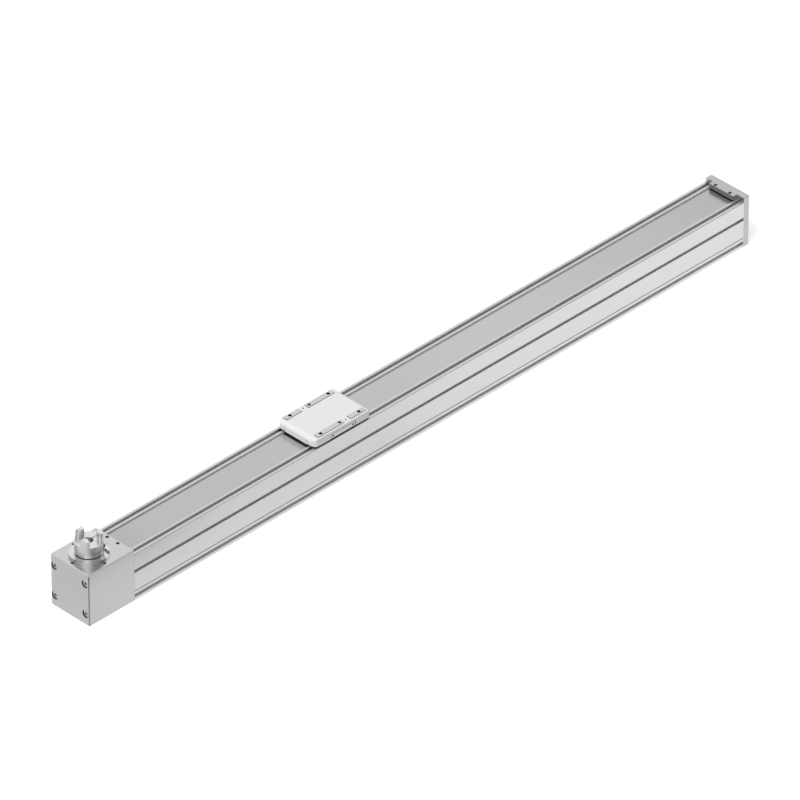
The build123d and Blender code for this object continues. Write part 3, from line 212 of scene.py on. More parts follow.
class BeltAxisColours(bpy.types.PropertyGroup):
    """Colours of the finishes."""

    profile: shade("Profile", "E6E6E7", "Clear anodised extruded aluminium")
    # Profile top is painted shade that darkens the faces of the profile that look up
    profile_top_shade: shade("Profile top", "DADADB", "Duller top faces of the extruded profile")
    # Profile edges is painted shade in the top groove floors and a painted dark reflection on the rounded
    # top edges
    profile_edge_shade: shade("Profile edges", "B0B0B1", "Rounded top edges and groove floors of the profile")
    groove: shade("Grooves", "E0E0E1", "Clean metal inside the profile's side grooves")
    wall: shade("Channel wall", "D6D6D6", "Matt sides of the channel beside the strip")
    ends: shade("Ends", "D2D2D3", "Clear anodised milled aluminium of the head")
    cap: shade("Cap", "C4C4C5", "Clear anodised milled aluminium of the end cap")
    edge: shade("Edges", "BEBEBE", "Tumbled matt edges of the milled pieces")
    # Corners is a painted dark reflection on the roundings of the upright corners
    corner: shade("Corners", "8C8C8D", "Darker skin of the head's upright corners")
    # Bores is painted shade on the walls of holes and counterbores
    bore_shade: shade("Bores", "1C1C1D", "Oily walls of holes and counterbores")
    blackened: shade("Blackened", "3A3A3B", "Blackened steel of the set screws")
    bright: shade("Bright", "DCDCDC", "Bright faces of the end screws")
    machined: shade("Machined", "D6D6D6", "Milled aluminium of the slide's pads")
    turned: shade("Turned", "E4E4E4", "Turned aluminium of the hub and the collar")
    strip: shade("Strip", "CACACB", "Rolled stainless steel of the cover strip")
    steel: shade("Steel", "9A9A9C", "Ground bearing steel")
    plated: shade("Plated", "A8A8AA", "Zinc plated steel of the screws")
    cover: shade("Cover", "E9E9E8", "Light moulded plastic of the slide")
    rubber: shade("Rubber", "1A1A1A", "Black rubber of wipers, seals and buffers")
    belt: shade("Belt", "222224", "Polyurethane of the toothed belt")
    floor: shade("Floor", "F4F4F4", "Pale studio floor")
    bounce: shade("Bounce", "C2C2C2", "Light that the floor throws back on the part")


def sizes():
    """The sizes in use."""
    return bpy.context.scene.belt_axis_sizes


def colours():
    """The colours in use."""
    return bpy.context.scene.belt_axis_colours


def node(name):
    """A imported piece."""
    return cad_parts[name]


# Materials


def add_node(tree, kind, inputs=None, **settings):
    """Adds a shader node, with its settings, and values or other nodes' sockets for its inputs."""
    added = tree.nodes.new(kind)
    for name, value in settings.items():
        setattr(added, name, value)
    for name, value in (inputs or {}).items():
        if isinstance(value, bpy.types.NodeSocket):
            tree.links.new(value, added.inputs[name])
        else:
            added.inputs[name].default_value = value
    return added


def new_material(name):
    """An empty material and its node tree."""
    material = bpy.data.materials.new(name)
    material.use_nodes = True
    material.node_tree.nodes.clear()
    return material, material.node_tree


def rgba(value):
    """A colour with full cover."""
    return (value[0], value[1], value[2], 1.0)


def grain(tree, scale):
    """Noise on the object's own coordinates, with a scale for each axis in cycles per metre."""
    place = add_node(tree, "ShaderNodeTexCoord")
    mapped = add_node(tree, "ShaderNodeMapping", {"Vector": place.outputs["Object"], "Scale": scale})
    noise = add_node(
        tree, "ShaderNodeTexNoise", {"Vector": mapped.outputs["Vector"], "Scale": 1.0, "Detail": 2.0}
    )
    return noise.outputs["Fac"]


def set_stops(ramp, stops):
    """Fills a ramp with grey levels at places from 0 to 1."""
    ramp.interpolation = "EASE"
    ramp.elements.remove(ramp.elements[0])
    for index, (where, level) in enumerate(stops):
        stop = ramp.elements.new(where) if index else ramp.elements[0]
        stop.position = where
        stop.color = (level, level, level, 1)


def levels_along(tree, axis, stops):
    """Brightness that changes along an axis of the object, from stops of metres and level."""
    place = add_node(tree, "ShaderNodeTexCoord")
    parts = add_node(tree, "ShaderNodeSeparateXYZ", {"Vector": place.outputs["Object"]})
    first, last = stops[0][0], stops[-1][0]
    share = add_node(
        tree, "ShaderNodeMapRange", {"Value": parts.outputs[axis], "From Min": first, "From Max": last}
    )
    ramp = add_node(tree, "ShaderNodeValToRGB", {"Fac": share.outputs["Result"]})
    set_stops(ramp.color_ramp, [((where - first) / (last - first), level) for where, level in stops])
    return ramp.outputs["Color"]


def metal(name, base, roughness, scale, spread, relief=0.0, painted_light=None, turned=False):
    """A bare or anodised metal whose grain varies its roughness and may lie in a slight relief."""
    material, tree = new_material(name)
    factor = grain(tree, scale)
    varied = add_node(
        tree,
        "ShaderNodeMapRange",
        {
            "Value": factor,
            "From Min": 0.25,
            "From Max": 0.75,
            "To Min": roughness - spread,
            "To Max": roughness + spread,
        },
    )
    inputs = {"Base Color": rgba(base), "Metallic": 1.0, "Roughness": varied.outputs["Result"]}
    # Painted light: a brightness that changes along X multiplies the colour
    if painted_light:
        painted_lit = add_node(
            tree,
            "ShaderNodeMix",
            {0: 1.0, 6: rgba(base), 7: levels_along(tree, "X", painted_light)},
            data_type="RGBA",
            blend_type="MULTIPLY",
        )
        inputs["Base Color"] = painted_lit.outputs[2]
    if relief:
        bump = add_node(tree, "ShaderNodeBump", {"Height": factor, "Strength": 1.0, "Distance": relief})
        inputs["Normal"] = bump.outputs["Normal"]
    if turned:
        # Tool marks run round the axis, so the blur lies across them, a quarter turn from the tangent
        tangent = add_node(tree, "ShaderNodeTangent", direction_type="RADIAL", axis="Z")
        inputs["Anisotropic"] = 0.75
        inputs["Anisotropic Rotation"] = 0.25
        inputs["Tangent"] = tangent.outputs["Tangent"]
    shader = add_node(tree, "ShaderNodeBsdfPrincipled", inputs)
    add_node(tree, "ShaderNodeOutputMaterial", {"Surface": shader.outputs["BSDF"]})
    return material


def matt(name, base, roughness, scale, relief, specular=0.5):
    """A plastic, rubber or dulled skin with a fine grain in relief."""
    material, tree = new_material(name)
    factor = grain(tree, scale)
    bump = add_node(tree, "ShaderNodeBump", {"Height": factor, "Strength": 1.0, "Distance": relief})
    shader = add_node(
        tree,
        "ShaderNodeBsdfPrincipled",
        {
            "Base Color": rgba(base),
            "Roughness": roughness,
            "IOR": 1.5,
            "Specular IOR Level": specular,
            "Normal": bump.outputs["Normal"],
        },
    )
    add_node(tree, "ShaderNodeOutputMaterial", {"Surface": shader.outputs["BSDF"]})
    return material


@functools.cache
def finishes():
    """All finishes by name, made once and shared by the pieces that have them."""
    tone = colours()
    # Die lines along the extrusion, 0.5 mm apart and 200 mm long, drawn coarse enough to show
    along = (5.0, 2000.0, 2000.0)
    # Milled and moulded faces: a fine matt grain of 0.3 mm
    fine = (3300.0, 3300.0, 3300.0)
    # Rolling marks along the strip, 0.4 mm apart and 250 mm long
    rolled = (4.0, 2500.0, 2500.0)
    # Tool marks round an upright axis, 0.25 mm apart
    feed = (40.0, 40.0, 4000.0)
    # Height of a grain that barely shows
    slight = 0.002 * MM
    return {
        # Extruded and clear anodised: satin, with faint lines along the die
        "profile": metal("clear anodised extruded aluminium", tone.profile, 0.42, along, 0.03, slight),
        # The same extrusion on the faces that look up: a little darker, painted shade on its top faces
        "profile_top_shade": metal("anodised aluminium with painted top shade", tone.profile_top_shade, 0.42, along, 0.03, slight),
        # Edges and groove floors of the extrusion: the darkest lines along it, painted shade in the groove
        # floors and a painted dark reflection on the rounded edges
        "profile_edge_shade": metal("anodised extruded edge", tone.profile_edge_shade, 0.42, along, 0.03, slight),
        # Inside the side grooves, never touched: bright, so that they don't fall black
        "groove": metal("clean extruded groove", tone.groove, 0.34, along, 0.03),
        # Sides of the channel, matt from the extrusion
        "wall": matt("matt anodised channel wall", tone.wall, 0.6, fine, slight, 0.4),
        # Milled and clear anodised: even satin that mirrors the hub as a blur
        "ends": metal("clear anodised milled aluminium", tone.ends, 0.27, fine, 0.02),
        # The cap, milled the same way and a little darker
        "cap": metal("clear anodised milled cap aluminium", tone.cap, 0.3, fine, 0.02),
        # Tumbled edges: matt, so they keep one tone where the faces mirror the room
        "edge": matt("tumbled anodised edge", tone.edge, 0.6, fine, slight, 0.4),
        # Upright corners: a thin darker line where the two faces meet, a painted dark reflection on their
        # roundings
        "corner": metal("painted dark corner reflection", tone.corner, 0.4, fine, 0.02),
        # Holes: painted shade makes their walls nearly black
        "bore_shade": matt("painted bore shade", tone.bore_shade, 0.8, fine, slight, 0.1),
        # Blackened set screws: dark satin
        "blackened": matt("blackened steel", tone.blackened, 0.45, fine, slight),
        # End screws: bright plated faces that nearly match the head
        "bright": metal("bright zinc plated steel", tone.bright, 0.35, fine, 0.02),
        # Fine milled, bare: brighter satin
        "machined": metal("fine milled aluminium", tone.machined, 0.34, fine, 0.02),
        # Turned: tool marks round the axis draw the light out along it
        "turned": metal("turned aluminium", tone.turned, 0.25, feed, 0.04, turned=True),
        # Rolled stainless strip: smooth, with marks along it, and painted light that lightens its middle
        "strip": metal("rolled stainless steel", tone.strip, 0.24, rolled, 0.02, painted_light=STRIP_PAINTED_LIGHT),
        # Ground: smooth dark steel
        "steel": metal("ground bearing steel", tone.steel, 0.22, fine, 0.02),
        # Zinc plate, bright with a slight haze
        "plated": metal("zinc plated steel", tone.plated, 0.3, fine, 0.03),
        # Injection moulded, satin: an even pale skin
        "cover": matt("moulded light ABS", tone.cover, 0.42, fine, slight),
        # Nitrile rubber, matt black, also worn by the black pieces that paint the shade in gaps
        "rubber": matt("black nitrile rubber", tone.rubber, 0.75, fine, 2 * slight, 0.3),
        # Belt polyurethane, satin black
        "belt": matt("black belt polyurethane", tone.belt, 0.55, fine, 1.5 * slight, 0.4),
    }


def wear(piece, key):
    """Gives a piece one finish all over."""
    piece.data.materials.clear()
    piece.data.materials.append(finishes()[key])
    return piece


def dress(key, *names):
    """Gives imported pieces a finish."""
    for name in names:
        wear(node(name), key)


def finish_faces(name, key, test, *values):
    """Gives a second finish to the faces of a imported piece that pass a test."""
    mesh = node(name).data
    mesh.materials.append(finishes()[key])
    slot = len(mesh.materials) - 1
    for face in mesh.polygons:
        if test(face, *values):
            face.material_index = slot


def in_hole(face, axis, places, radius):
    """Whether a face is part of the wall of a hole along an axis, at one of several places."""
    across = [face.center[i] for i in range(3) if i != axis]
    near = any(math.dist(across, place) < radius + 0.1 * MM for place in places)
    return near and abs(face.normal[axis]) < 0.5


def near_sides(face, low, high):
    """The axes along which a face lies within the rounding of a box's sides."""
    middle = face.center
    return [i for i in range(3) if min(middle[i] - low[i], high[i] - middle[i]) < ROUNDING]


def on_upright_corner(face, low, high):
    """Whether a face is the middle of the rounding of a box's upright corner."""
    diagonal = abs(abs(face.normal.x) - abs(face.normal.y)) < 0.5
    return diagonal and abs(face.normal.z) < 0.05 and near_sides(face, low, high)[:2] == [0, 1]


def on_top_rounding(face, low, high):
    """Whether a face is part of the rounding round a box's top."""
    tilted = 0.05 < face.normal.z < 0.995
    return tilted and high.z - face.center.z < ROUNDING and len(near_sides(face, low, high)) > 1


# Modelling


def start_alone():
    """Leaves edit mode with nothing selected, so that the next operator acts on its own piece."""
    if bpy.context.object and bpy.context.object.mode != "OBJECT":
        bpy.ops.object.mode_set(mode="OBJECT")
    bpy.ops.object.select_all(action="DESELECT")


def bar(name, *limits):
    """A bar between two places along each axis, in any order, with its place in its mesh."""
    start_alone()
    low = Vector([min(pair) for pair in limits])
    high = Vector([max(pair) for pair in limits])
    bpy.ops.mesh.primitive_cube_add(size=1, location=(low + high) / 2)
    piece = bpy.context.object
    piece.name = piece.data.name = name
    piece.scale = high - low
    bpy.ops.object.transform_apply(location=True, rotation=True, scale=True)
    return piece


def select_where(piece, test):
    """In edit mode, selects the vertices whose place passes a test, and what they close."""
    mesh = bmesh.from_edit_mesh(piece.data)
    for vertex in mesh.verts:
        vertex.select_set(test(vertex.co))
    mesh.select_flush_mode()
    bmesh.update_edit_mesh(piece.data)


def cut_across(x_values):
    """Cuts the active piece across at places along X."""
    bpy.ops.object.mode_set(mode="EDIT")
    for x in x_values:
        bpy.ops.mesh.select_all(action="SELECT")
        bpy.ops.mesh.bisect(plane_co=(x, 0, 0), plane_no=(1, 0, 0))
    bpy.ops.object.mode_set(mode="OBJECT")


def copy_piece(name, source, planes=()):
    """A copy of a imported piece, merged and then trimmed by planes whose normals point to what goes."""
    start_alone()
    piece = bpy.data.objects.new(name, node(source).data.copy())
    piece.data.name = name
    bpy.context.scene.collection.objects.link(piece)
    bpy.context.view_layer.objects.active = piece
    piece.select_set(True)
    bpy.ops.object.mode_set(mode="EDIT")
    bpy.ops.mesh.select_all(action="SELECT")
    bpy.ops.mesh.remove_doubles(threshold=0.005 * MM)
    for place, normal in planes:
        bpy.ops.mesh.select_all(action="SELECT")
        bpy.ops.mesh.bisect(plane_co=place, plane_no=normal, use_fill=True, clear_outer=True)
    bpy.ops.mesh.select_all(action="SELECT")
    bpy.ops.mesh.normals_make_consistent(inside=False)
    bpy.ops.object.mode_set(mode="OBJECT")
    return piece


def join(name, pieces):
    """Joins pieces into one."""
    start_alone()
    for piece in pieces:
        piece.select_set(True)
    bpy.context.view_layer.objects.active = pieces[0]
    bpy.ops.object.join()
    pieces[0].name = pieces[0].data.name = name
    return pieces[0]


# Pieces


class AXIS_OT_profile(bpy.types.Operator):
    """Finishes the extruded profile"""

    bl_idname = "axis.profile"
    bl_label = "Profile"

    def execute(self, context):
        dress("profile", "profile_housing")
        # Painted shade: the faces that look up are a little darker
        finish_faces("profile_housing", "profile_top_shade", lambda face: face.normal.z > 0.1)
        # Painted shade in the top groove floors and a painted dark reflection on the rounded top edges
        finish_faces("profile_housing", "profile_edge_shade", on_profile_edge)
        finish_faces("profile_housing", "groove", in_side_groove)
        finish_faces("profile_housing", "wall", on_channel_wall)
        return {"FINISHED"}


def on_profile_edge(face):
    """Whether a face is a rounded top edge or the floor of a top groove."""
    depth = PROFILE_HIGH.z - face.center.z
    rounded = 0.1 < face.normal.z < 0.95 and depth < TOP_EDGE_DEPTH
    return rounded or (face.normal.z > 0.9 and GROOVE_FLOOR_DEPTHS[0] < depth < GROOVE_FLOOR_DEPTHS[1])


def in_side_groove(face):
    """Whether a face lies inside one of the upper side grooves, or behind it."""
    low, high = SIDE_GROOVE_HEIGHTS
    return abs(face.center.y) < PROFILE_HIGH.y - SIDE_SKIN and low < face.center.z < high


def on_channel_wall(face):
    """Whether a face is a side of the strip's channel."""
    shallow = PROFILE_HIGH.z - face.center.z < CHANNEL_DEPTH
    return shallow and abs(face.normal.y) > 0.9 and abs(face.center.y) < CHANNEL_HALF


class AXIS_OT_ends(bpy.types.Operator):
    """Finishes the drive head, the bearing cover and the end cap"""

    bl_idname = "axis.ends"
    bl_label = "Head and Cap"

    def execute(self, context):
        dress("ends", "drive_head", "bearing_cover")
        dress("cap", "end_cap")
        screws = [(y, z) for y in (-END_SCREW_Y, END_SCREW_Y) for z in END_SCREW_HEIGHTS]
        for name, low, high in (("drive_head", HEAD_LOW, HEAD_HIGH), ("end_cap", CAP_LOW, CAP_HIGH)):
            finish_faces(name, "edge", on_top_rounding, low, high)
            # Painted dark reflection on the roundings of the upright corners
            finish_faces(name, "corner", on_upright_corner, low, high)
            # Painted shade on the walls of the end screws' counterbores
            finish_faces(name, "bore_shade", in_hole, 0, screws, COUNTERBORE_RADIUS)
        reach = MOTOR_HOLE_REACH
        holes = [(DRIVE_AXIS + x, y) for x, y in ((reach, 0), (-reach, 0), (0, reach), (0, -reach))]
        # Painted shade on the walls of the motor holes
        finish_faces("drive_head", "bore_shade", in_hole, 2, holes, MOTOR_HOLE_RADIUS)
        return {"FINISHED"}


class AXIS_OT_coupling(bpy.types.Operator):
    """Finishes the coupling hub, its collar and the drive shaft"""

    bl_idname = "axis.coupling"
    bl_label = "Coupling"

    def execute(self, context):
        dress("turned", "coupling_hub")
        collar = wear(notched_collar(), "turned")
        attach(collar, "housing")
        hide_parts("centring_collar")
        dress("steel", "drive_shaft")
        dress("plated", "hub_clamp_screw")
        return {"FINISHED"}


def notched_collar():
    """The centring collar with the second notch, behind the hub, that lets a motor screw pass."""
    collar = copy_piece("notched_collar", "centring_collar")
    cutter = bar(
        "notch", [DRIVE_AXIS + x for x in NOTCH_X], NOTCH_Y, [HEAD_HIGH.z + rise for rise in NOTCH_HEIGHTS]
    )
    start_alone()
    bpy.context.view_layer.objects.active = collar
    collar.select_set(True)
    cut = collar.modifiers.new("Notch", "BOOLEAN")
    cut.operation = "DIFFERENCE"
    cut.solver = "EXACT"
    cut.object = cutter
    bpy.ops.object.modifier_apply(modifier=cut.name)
    bpy.data.objects.remove(cutter)
    return collar


class AXIS_OT_slide(bpy.types.Operator):
    """Finishes the slide's body, cover, end pieces and wipers"""

    bl_idname = "axis.slide"
    bl_label = "Slide"

    def execute(self, context):
        dress("machined", "slide_body")
        dress("cover", "slide_cover", "front_deflector", "rear_deflector")
        dress("rubber", "strip_wipers")
        sides = (-1, 1)
        load_threads = [(SLIDE_MIDDLE + x * LOAD_THREAD_X, y * LOAD_THREAD_Y) for x in sides for y in sides]
        plate_threads = [(SLIDE_MIDDLE + x * PLATE_THREAD_X, SLIDE_LOW.z + PLATE_THREAD_RISE) for x in sides]
        oil_holes = [(SLIDE_MIDDLE - side * OIL_HOLE_X, side * OIL_HOLE_Y) for side in sides]
        # Painted shade on the walls of the slide's threads and oil holes
        finish_faces("slide_body", "bore_shade", in_hole, 2, load_threads, LOAD_THREAD_RADIUS)
        finish_faces("slide_body", "bore_shade", in_hole, 1, plate_threads, PLATE_THREAD_RADIUS)
        finish_faces("slide_body", "bore_shade", in_hole, 2, oil_holes, OIL_HOLE_RADIUS)
        finish_faces("slide_cover", "bore_shade", in_hole, 2, oil_holes, OIL_HOLE_RADIUS)
        return {"FINISHED"}


class AXIS_OT_gap_shade(bpy.types.Operator):
    """Models black pieces that paint the shade in the slide's gaps: lips over the profile and seals round
    its pads and side plates
    """

    bl_idname = "axis.seals"
    bl_label = "Slide Gap Shade"

    def execute(self, context):
        # Painted shade: black pieces in the gaps round the slide
        lips = join("slide_shade_lips", [*side_shade_lips(), *end_shade_lips()])
        seals = join("pad_shade_seals", [*pad_shade_seals(), *plate_shade_seals(), *end_shade_seals()])
        for piece in (lips, seals):
            wear(piece, "rubber")
            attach(piece, "carriage")
        return {"FINISHED"}


def side_shade_lips():
    """Black lips under the slide's sides: painted shade in the gap there."""
    inset = 0.05 * MM
    corner = 6.0 * MM
    clearance = 0.15 * MM
    bite = 0.02 * MM
    x = (SLIDE_LOW.x + corner, SLIDE_HIGH.x - corner)
    z = (PROFILE_HIGH.z + clearance, SLIDE_LOW.z + bite)
    outer = SLIDE_HIGH.y - inset
    inner = outer - sizes().shade_lip_width
    return [bar("side_shade_lip", x, (side * outer, side * inner), z) for side in (-1, 1)]


def end_shade_lips():
    """Black lips over the strip under the slide's end pieces: painted shade in the gap there."""
    reach = 0.1 * MM
    clearance = 0.1 * MM
    height = 2.3 * MM
    base = STRIP_LOW.z + sizes().strip_thickness + clearance
    outer = SLIDE_HALF + reach
    inner = outer - sizes().shade_lip_length
    return [
        bar(
            "end_shade_lip",
            (SLIDE_MIDDLE + side * outer, SLIDE_MIDDLE + side * inner),
            (-END_SHADE_LIP_HALF, END_SHADE_LIP_HALF),
            (base, base + height),
        )
        for side in (-1, 1)
    ]


def pad_shade_seals():
    """Thin black seals along the inner side and one end of each pad: painted shade in the gap beside it."""
    width = sizes().shade_seal_width
    top = SLIDE_HIGH.z + 0.05 * MM
    z = (top - sizes().shade_seal_depth, top)
    pieces = []
    for start, stop in PAD_SPANS:
        for side in (-1, 1):
            low_x, high_x = sorted((SLIDE_MIDDLE - side * start, SLIDE_MIDDLE - side * stop))
            near = side * PAD_OFFSET - PAD_WIDTH / 2
            pieces.append(bar("shade_seal", (low_x - width, high_x + width), (near - width, near), z))
            pieces.append(bar("shade_seal", (low_x - width, low_x), (near, near + PAD_WIDTH), z))
    return pieces


def plate_shade_seals():
    """Thin black seals over and beside each side plate: painted shade in the gap round it."""
    line = sizes().plate_shade_line
    reach = 0.04 * MM
    depth = 0.9 * MM
    base, top = SLIDE_LOW.z, SLIDE_LOW.z + PLATE_HEIGHT
    low_x, high_x = SLIDE_MIDDLE - PLATE_HALF - line, SLIDE_MIDDLE + PLATE_HALF + line
    pieces = []
    for side in (-1, 1):
        y = (side * (SLIDE_HIGH.y + reach), side * (SLIDE_HIGH.y - depth))
        pieces.append(bar("shade_seal", (low_x, high_x), y, (top, top + line)))
        pieces.append(bar("shade_seal", (low_x, low_x + line), y, (base, top)))
        pieces.append(bar("shade_seal", (high_x - line, high_x), y, (base, top)))
    return pieces


def end_shade_seals():
    """Thin upright black seals beside each end piece: painted shade in the gap there."""
    half = sizes().shade_seal_width / 2
    reach = 0.03 * MM
    depth = 2.0 * MM
    z = (SLIDE_LOW.z - 0.8 * MM, SLIDE_LOW.z + 5.6 * MM)
    pieces = []
    for side in (-1, 1):
        x = (SLIDE_MIDDLE + side * (SLIDE_HALF + reach), SLIDE_MIDDLE + side * (SLIDE_HALF - depth))
        for middle in (-END_PIECE_HALF, END_PIECE_HALF):
            pieces.append(bar("shade_seal", x, (middle - half, middle + half), z))
    return pieces


class AXIS_OT_strip(bpy.types.Operator):
    """Models the cover strip in three lengths: two from the ends to the slide and one inside the slide that
    rides with it
    """

    bl_idname = "axis.strip"
    bl_label = "Cover Strip"

    def execute(self, context):
        size = sizes()
        base, top = STRIP_LOW.z, STRIP_LOW.z + size.strip_thickness
        ramp_end = SLIDE_HALF - size.strip_inset
        flat_end = ramp_end - size.strip_ramp
        joint = ramp_end + size.strip_overlap
        front_x, rear_x = SLIDE_MIDDLE - joint, SLIDE_MIDDLE + joint
        section = ((STRIP_LOW.y, STRIP_HIGH.y), (base, top))

        front = bar("strip_front", (STRIP_LOW.x, front_x), *section)
        rear = bar("strip_rear", (rear_x, STRIP_HIGH.x), *section)
        hump = bar("strip_hump", (front_x, rear_x), *section)
        cut_across([SLIDE_MIDDLE + side * x for side in (-1, 1) for x in (flat_end, ramp_end)])
        bpy.ops.object.mode_set(mode="EDIT")
        select_where(hump, lambda place: abs(place.x - SLIDE_MIDDLE) < (flat_end + ramp_end) / 2)
        bpy.ops.transform.translate(value=(0, 0, STRIP_HIGH.z - top))
        bpy.ops.object.mode_set(mode="OBJECT")

        for piece in (front, rear, hump):
            wear(piece, "strip")
        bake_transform(front)
        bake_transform(rear)
        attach(hump, "carriage")
        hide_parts("cover_strip")
        return {"FINISHED"}


class AXIS_OT_belt(bpy.types.Operator):
    """Models the toothed belt in the lengths that stay, travel, and run from the loop to the clamps"""

    bl_idname = "axis.belt"
    bl_label = "Toothed Belt"

    def execute(self, context):
        size = sizes()
        clamps_low, clamps_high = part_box("belt_clamp_plates")
        near, far = BELT_LOW.y, BELT_HIGH.y
        z = (BELT_LOW.z, BELT_HIGH.z)
        wrap = (far - near) / 2 + size.belt_stub
        loop_x = (BELT_LOW.x + wrap, BELT_HIGH.x - wrap)

        wraps = [
            copy_piece("wrap_head", "toothed_belt", [((loop_x[0], 0, 0), (1, 0, 0))]),
            copy_piece("wrap_cap", "toothed_belt", [((loop_x[1], 0, 0), (-1, 0, 0))]),
        ]
        run = bar("far_run", loop_x, (far - size.belt_back, far), z)
        loop = join("belt_loop", [run, *wraps])

        ends = []
        for low in (clamps_low.x, clamps_high.x - size.clamped_belt):
            planes = [
                ((low, 0, 0), (-1, 0, 0)),
                ((low + size.clamped_belt, 0, 0), (1, 0, 0)),
                ((0, 0, 0), (0, 1, 0)),
            ]
            ends.append(copy_piece("clamped_end", "toothed_belt", planes))
        clamped = join("belt_clamped_ends", ends)

        front = bar("belt_near_front", (loop_x[0], clamps_low.x), (near, near + size.belt_back), z)
        rear = bar("belt_near_rear", (clamps_high.x, loop_x[1]), (near, near + size.belt_back), z)
        for piece in (loop, clamped, front, rear):
            wear(piece, "belt")
        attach(loop, "housing")
        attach(clamped, "carriage")
        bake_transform(front)
        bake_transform(rear)
        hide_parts("toothed_belt")
        return {"FINISHED"}


class AXIS_OT_fasteners(bpy.types.Operator):
    """Finishes the screws and the pads under the strip's set screws"""

    bl_idname = "axis.fasteners"
    bl_label = "Fasteners"

    def execute(self, context):
        screws = [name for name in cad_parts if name.endswith("_screws")]
        dress("plated", *screws)
        dress("blackened", "head_clamp_screws", "cap_clamp_screws")
        # The pads under the strip's set screws are dressed black, which paints the shade in the slot under
        # the head and the cap
        dress("rubber", "head_strip_pad", "cap_strip_pad")
        for name, inwards in (("drive_head_screws", 1), ("end_cap_screws", -1)):
            sunk = wear(sunk_screws(name, inwards), "bright")
            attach(sunk, "housing")
            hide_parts(name)
        return {"FINISHED"}


def sunk_screws(name, inwards):
    """A copy of end screws whose heads lie deeper in their counterbores, as the real ones do."""
    low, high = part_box(name)
    front = low.x if inwards > 0 else high.x
    head = 4.0 * MM
    piece = copy_piece(name + "_sunk", name)
    bpy.ops.object.mode_set(mode="EDIT")
    select_where(piece, lambda place: abs(place.x - front) < head)
    bpy.ops.transform.translate(value=(inwards * sizes().screw_sink, 0, 0))
    bpy.ops.object.mode_set(mode="OBJECT")
    return piece


class AXIS_OT_inside(bpy.types.Operator):
    """Finishes the guide, the bearings, the pulleys and the buffers inside the profile"""

    bl_idname = "axis.inside"
    bl_label = "Inner Pieces"

    def execute(self, context):
        bearings = [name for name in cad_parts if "bearing_inner" in name or "bearing_outer" in name]
        dress("steel", *bearings, "idler_axle", "guide_rail", "guide_block", "guide_balls")
        dress("machined", "drive_pulley", "idler_pulley", "belt_clamp_jaws", "belt_clamp_plates")
        dress("ends", "tension_fork", "shaft_spacer")
        dress("rubber", "block_end_seals", "head_buffer", "cap_buffer")
        return {"FINISHED"}


class AXIS_OT_studio(bpy.types.Operator):
    """Sets the pale floor, the soft light and the camera"""

    bl_idname = "axis.studio"
    bl_label = "Studio"

    def execute(self, context):
        floor = add_floor()
        lamp = add_lamp()
        camera = add_camera()
        light_world(context.scene)
        context.scene.view_settings.view_transform = "Standard"
        return {"FINISHED"}


def add_floor():
    """A flat sheet of paper under the part."""
    start_alone()
    bpy.ops.mesh.primitive_plane_add(size=sizes().floor_size, location=(0, 0, 0))
    floor = bpy.context.object
    floor.name = floor.data.name = "studio_floor"
    floor.data.materials.append(floor_material())
    return floor


def floor_material():
    """Pale paper: white with a soft shadow to the camera, and in the metal a little greyer, with a painted
    reflection that brightens along the part and darkens beside the head.
    """
    paper, tree = new_material("pale studio paper")
    path = add_node(tree, "ShaderNodeLightPath")
    shown = add_node(tree, "ShaderNodeBsdfDiffuse", {"Color": rgba(colours().floor)})
    glow = add_node(tree, "ShaderNodeEmission", {"Color": (1, 1, 1, 1), "Strength": PAPER_GLOW})
    lit = add_node(tree, "ShaderNodeAddShader", {0: shown.outputs["BSDF"], 1: glow.outputs["Emission"]})
    bounce = add_node(tree, "ShaderNodeBsdfDiffuse", {"Color": rgba(colours().bounce)})
    # Painted reflection: the brightness that the metal sees in the paper is set by place
    across, beside = levels_along(tree, "Y", PAINTED_REFLECTION_DARK_Y), levels_along(tree, "X", PAINTED_REFLECTION_DARK_X)
    kept = add_node(tree, "ShaderNodeMath", {0: across, 1: beside}, operation="MAXIMUM")
    level = add_node(
        tree,
        "ShaderNodeMath",
        {0: levels_along(tree, "X", PAINTED_REFLECTION_ALONG), 1: kept.outputs["Value"]},
        operation="MULTIPLY",
    )
    mirrored = add_node(
        tree, "ShaderNodeEmission", {"Color": (1, 1, 1, 1), "Strength": level.outputs["Value"]}
    )
    glossy = add_node(
        tree,
        "ShaderNodeMixShader",
        {"Fac": path.outputs["Is Glossy Ray"], 1: bounce.outputs["BSDF"], 2: mirrored.outputs["Emission"]},
    )
    mixed = add_node(
        tree,
        "ShaderNodeMixShader",
        {"Fac": path.outputs["Is Camera Ray"], 1: glossy.outputs["Shader"], 2: lit.outputs["Shader"]},
    )
    add_node(tree, "ShaderNodeOutputMaterial", {"Surface": mixed.outputs["Shader"]})
    return paper


def add_lamp():
    """One large soft lamp from above the drive head, which the metal doesn't mirror."""
    data = bpy.data.lights.new("studio_lamp", "SUN")
    data.energy = LAMP_ENERGY
    data.angle = math.radians(LAMP_ANGLE)
    lamp = bpy.data.objects.new("studio_lamp", data)
    lamp.visible_glossy = False
    lamp.rotation_mode = "QUATERNION"
    lamp.rotation_quaternion = Vector(LAMP_FROM).to_track_quat("Z", "Y")
    bpy.context.scene.collection.objects.link(lamp)
    return lamp


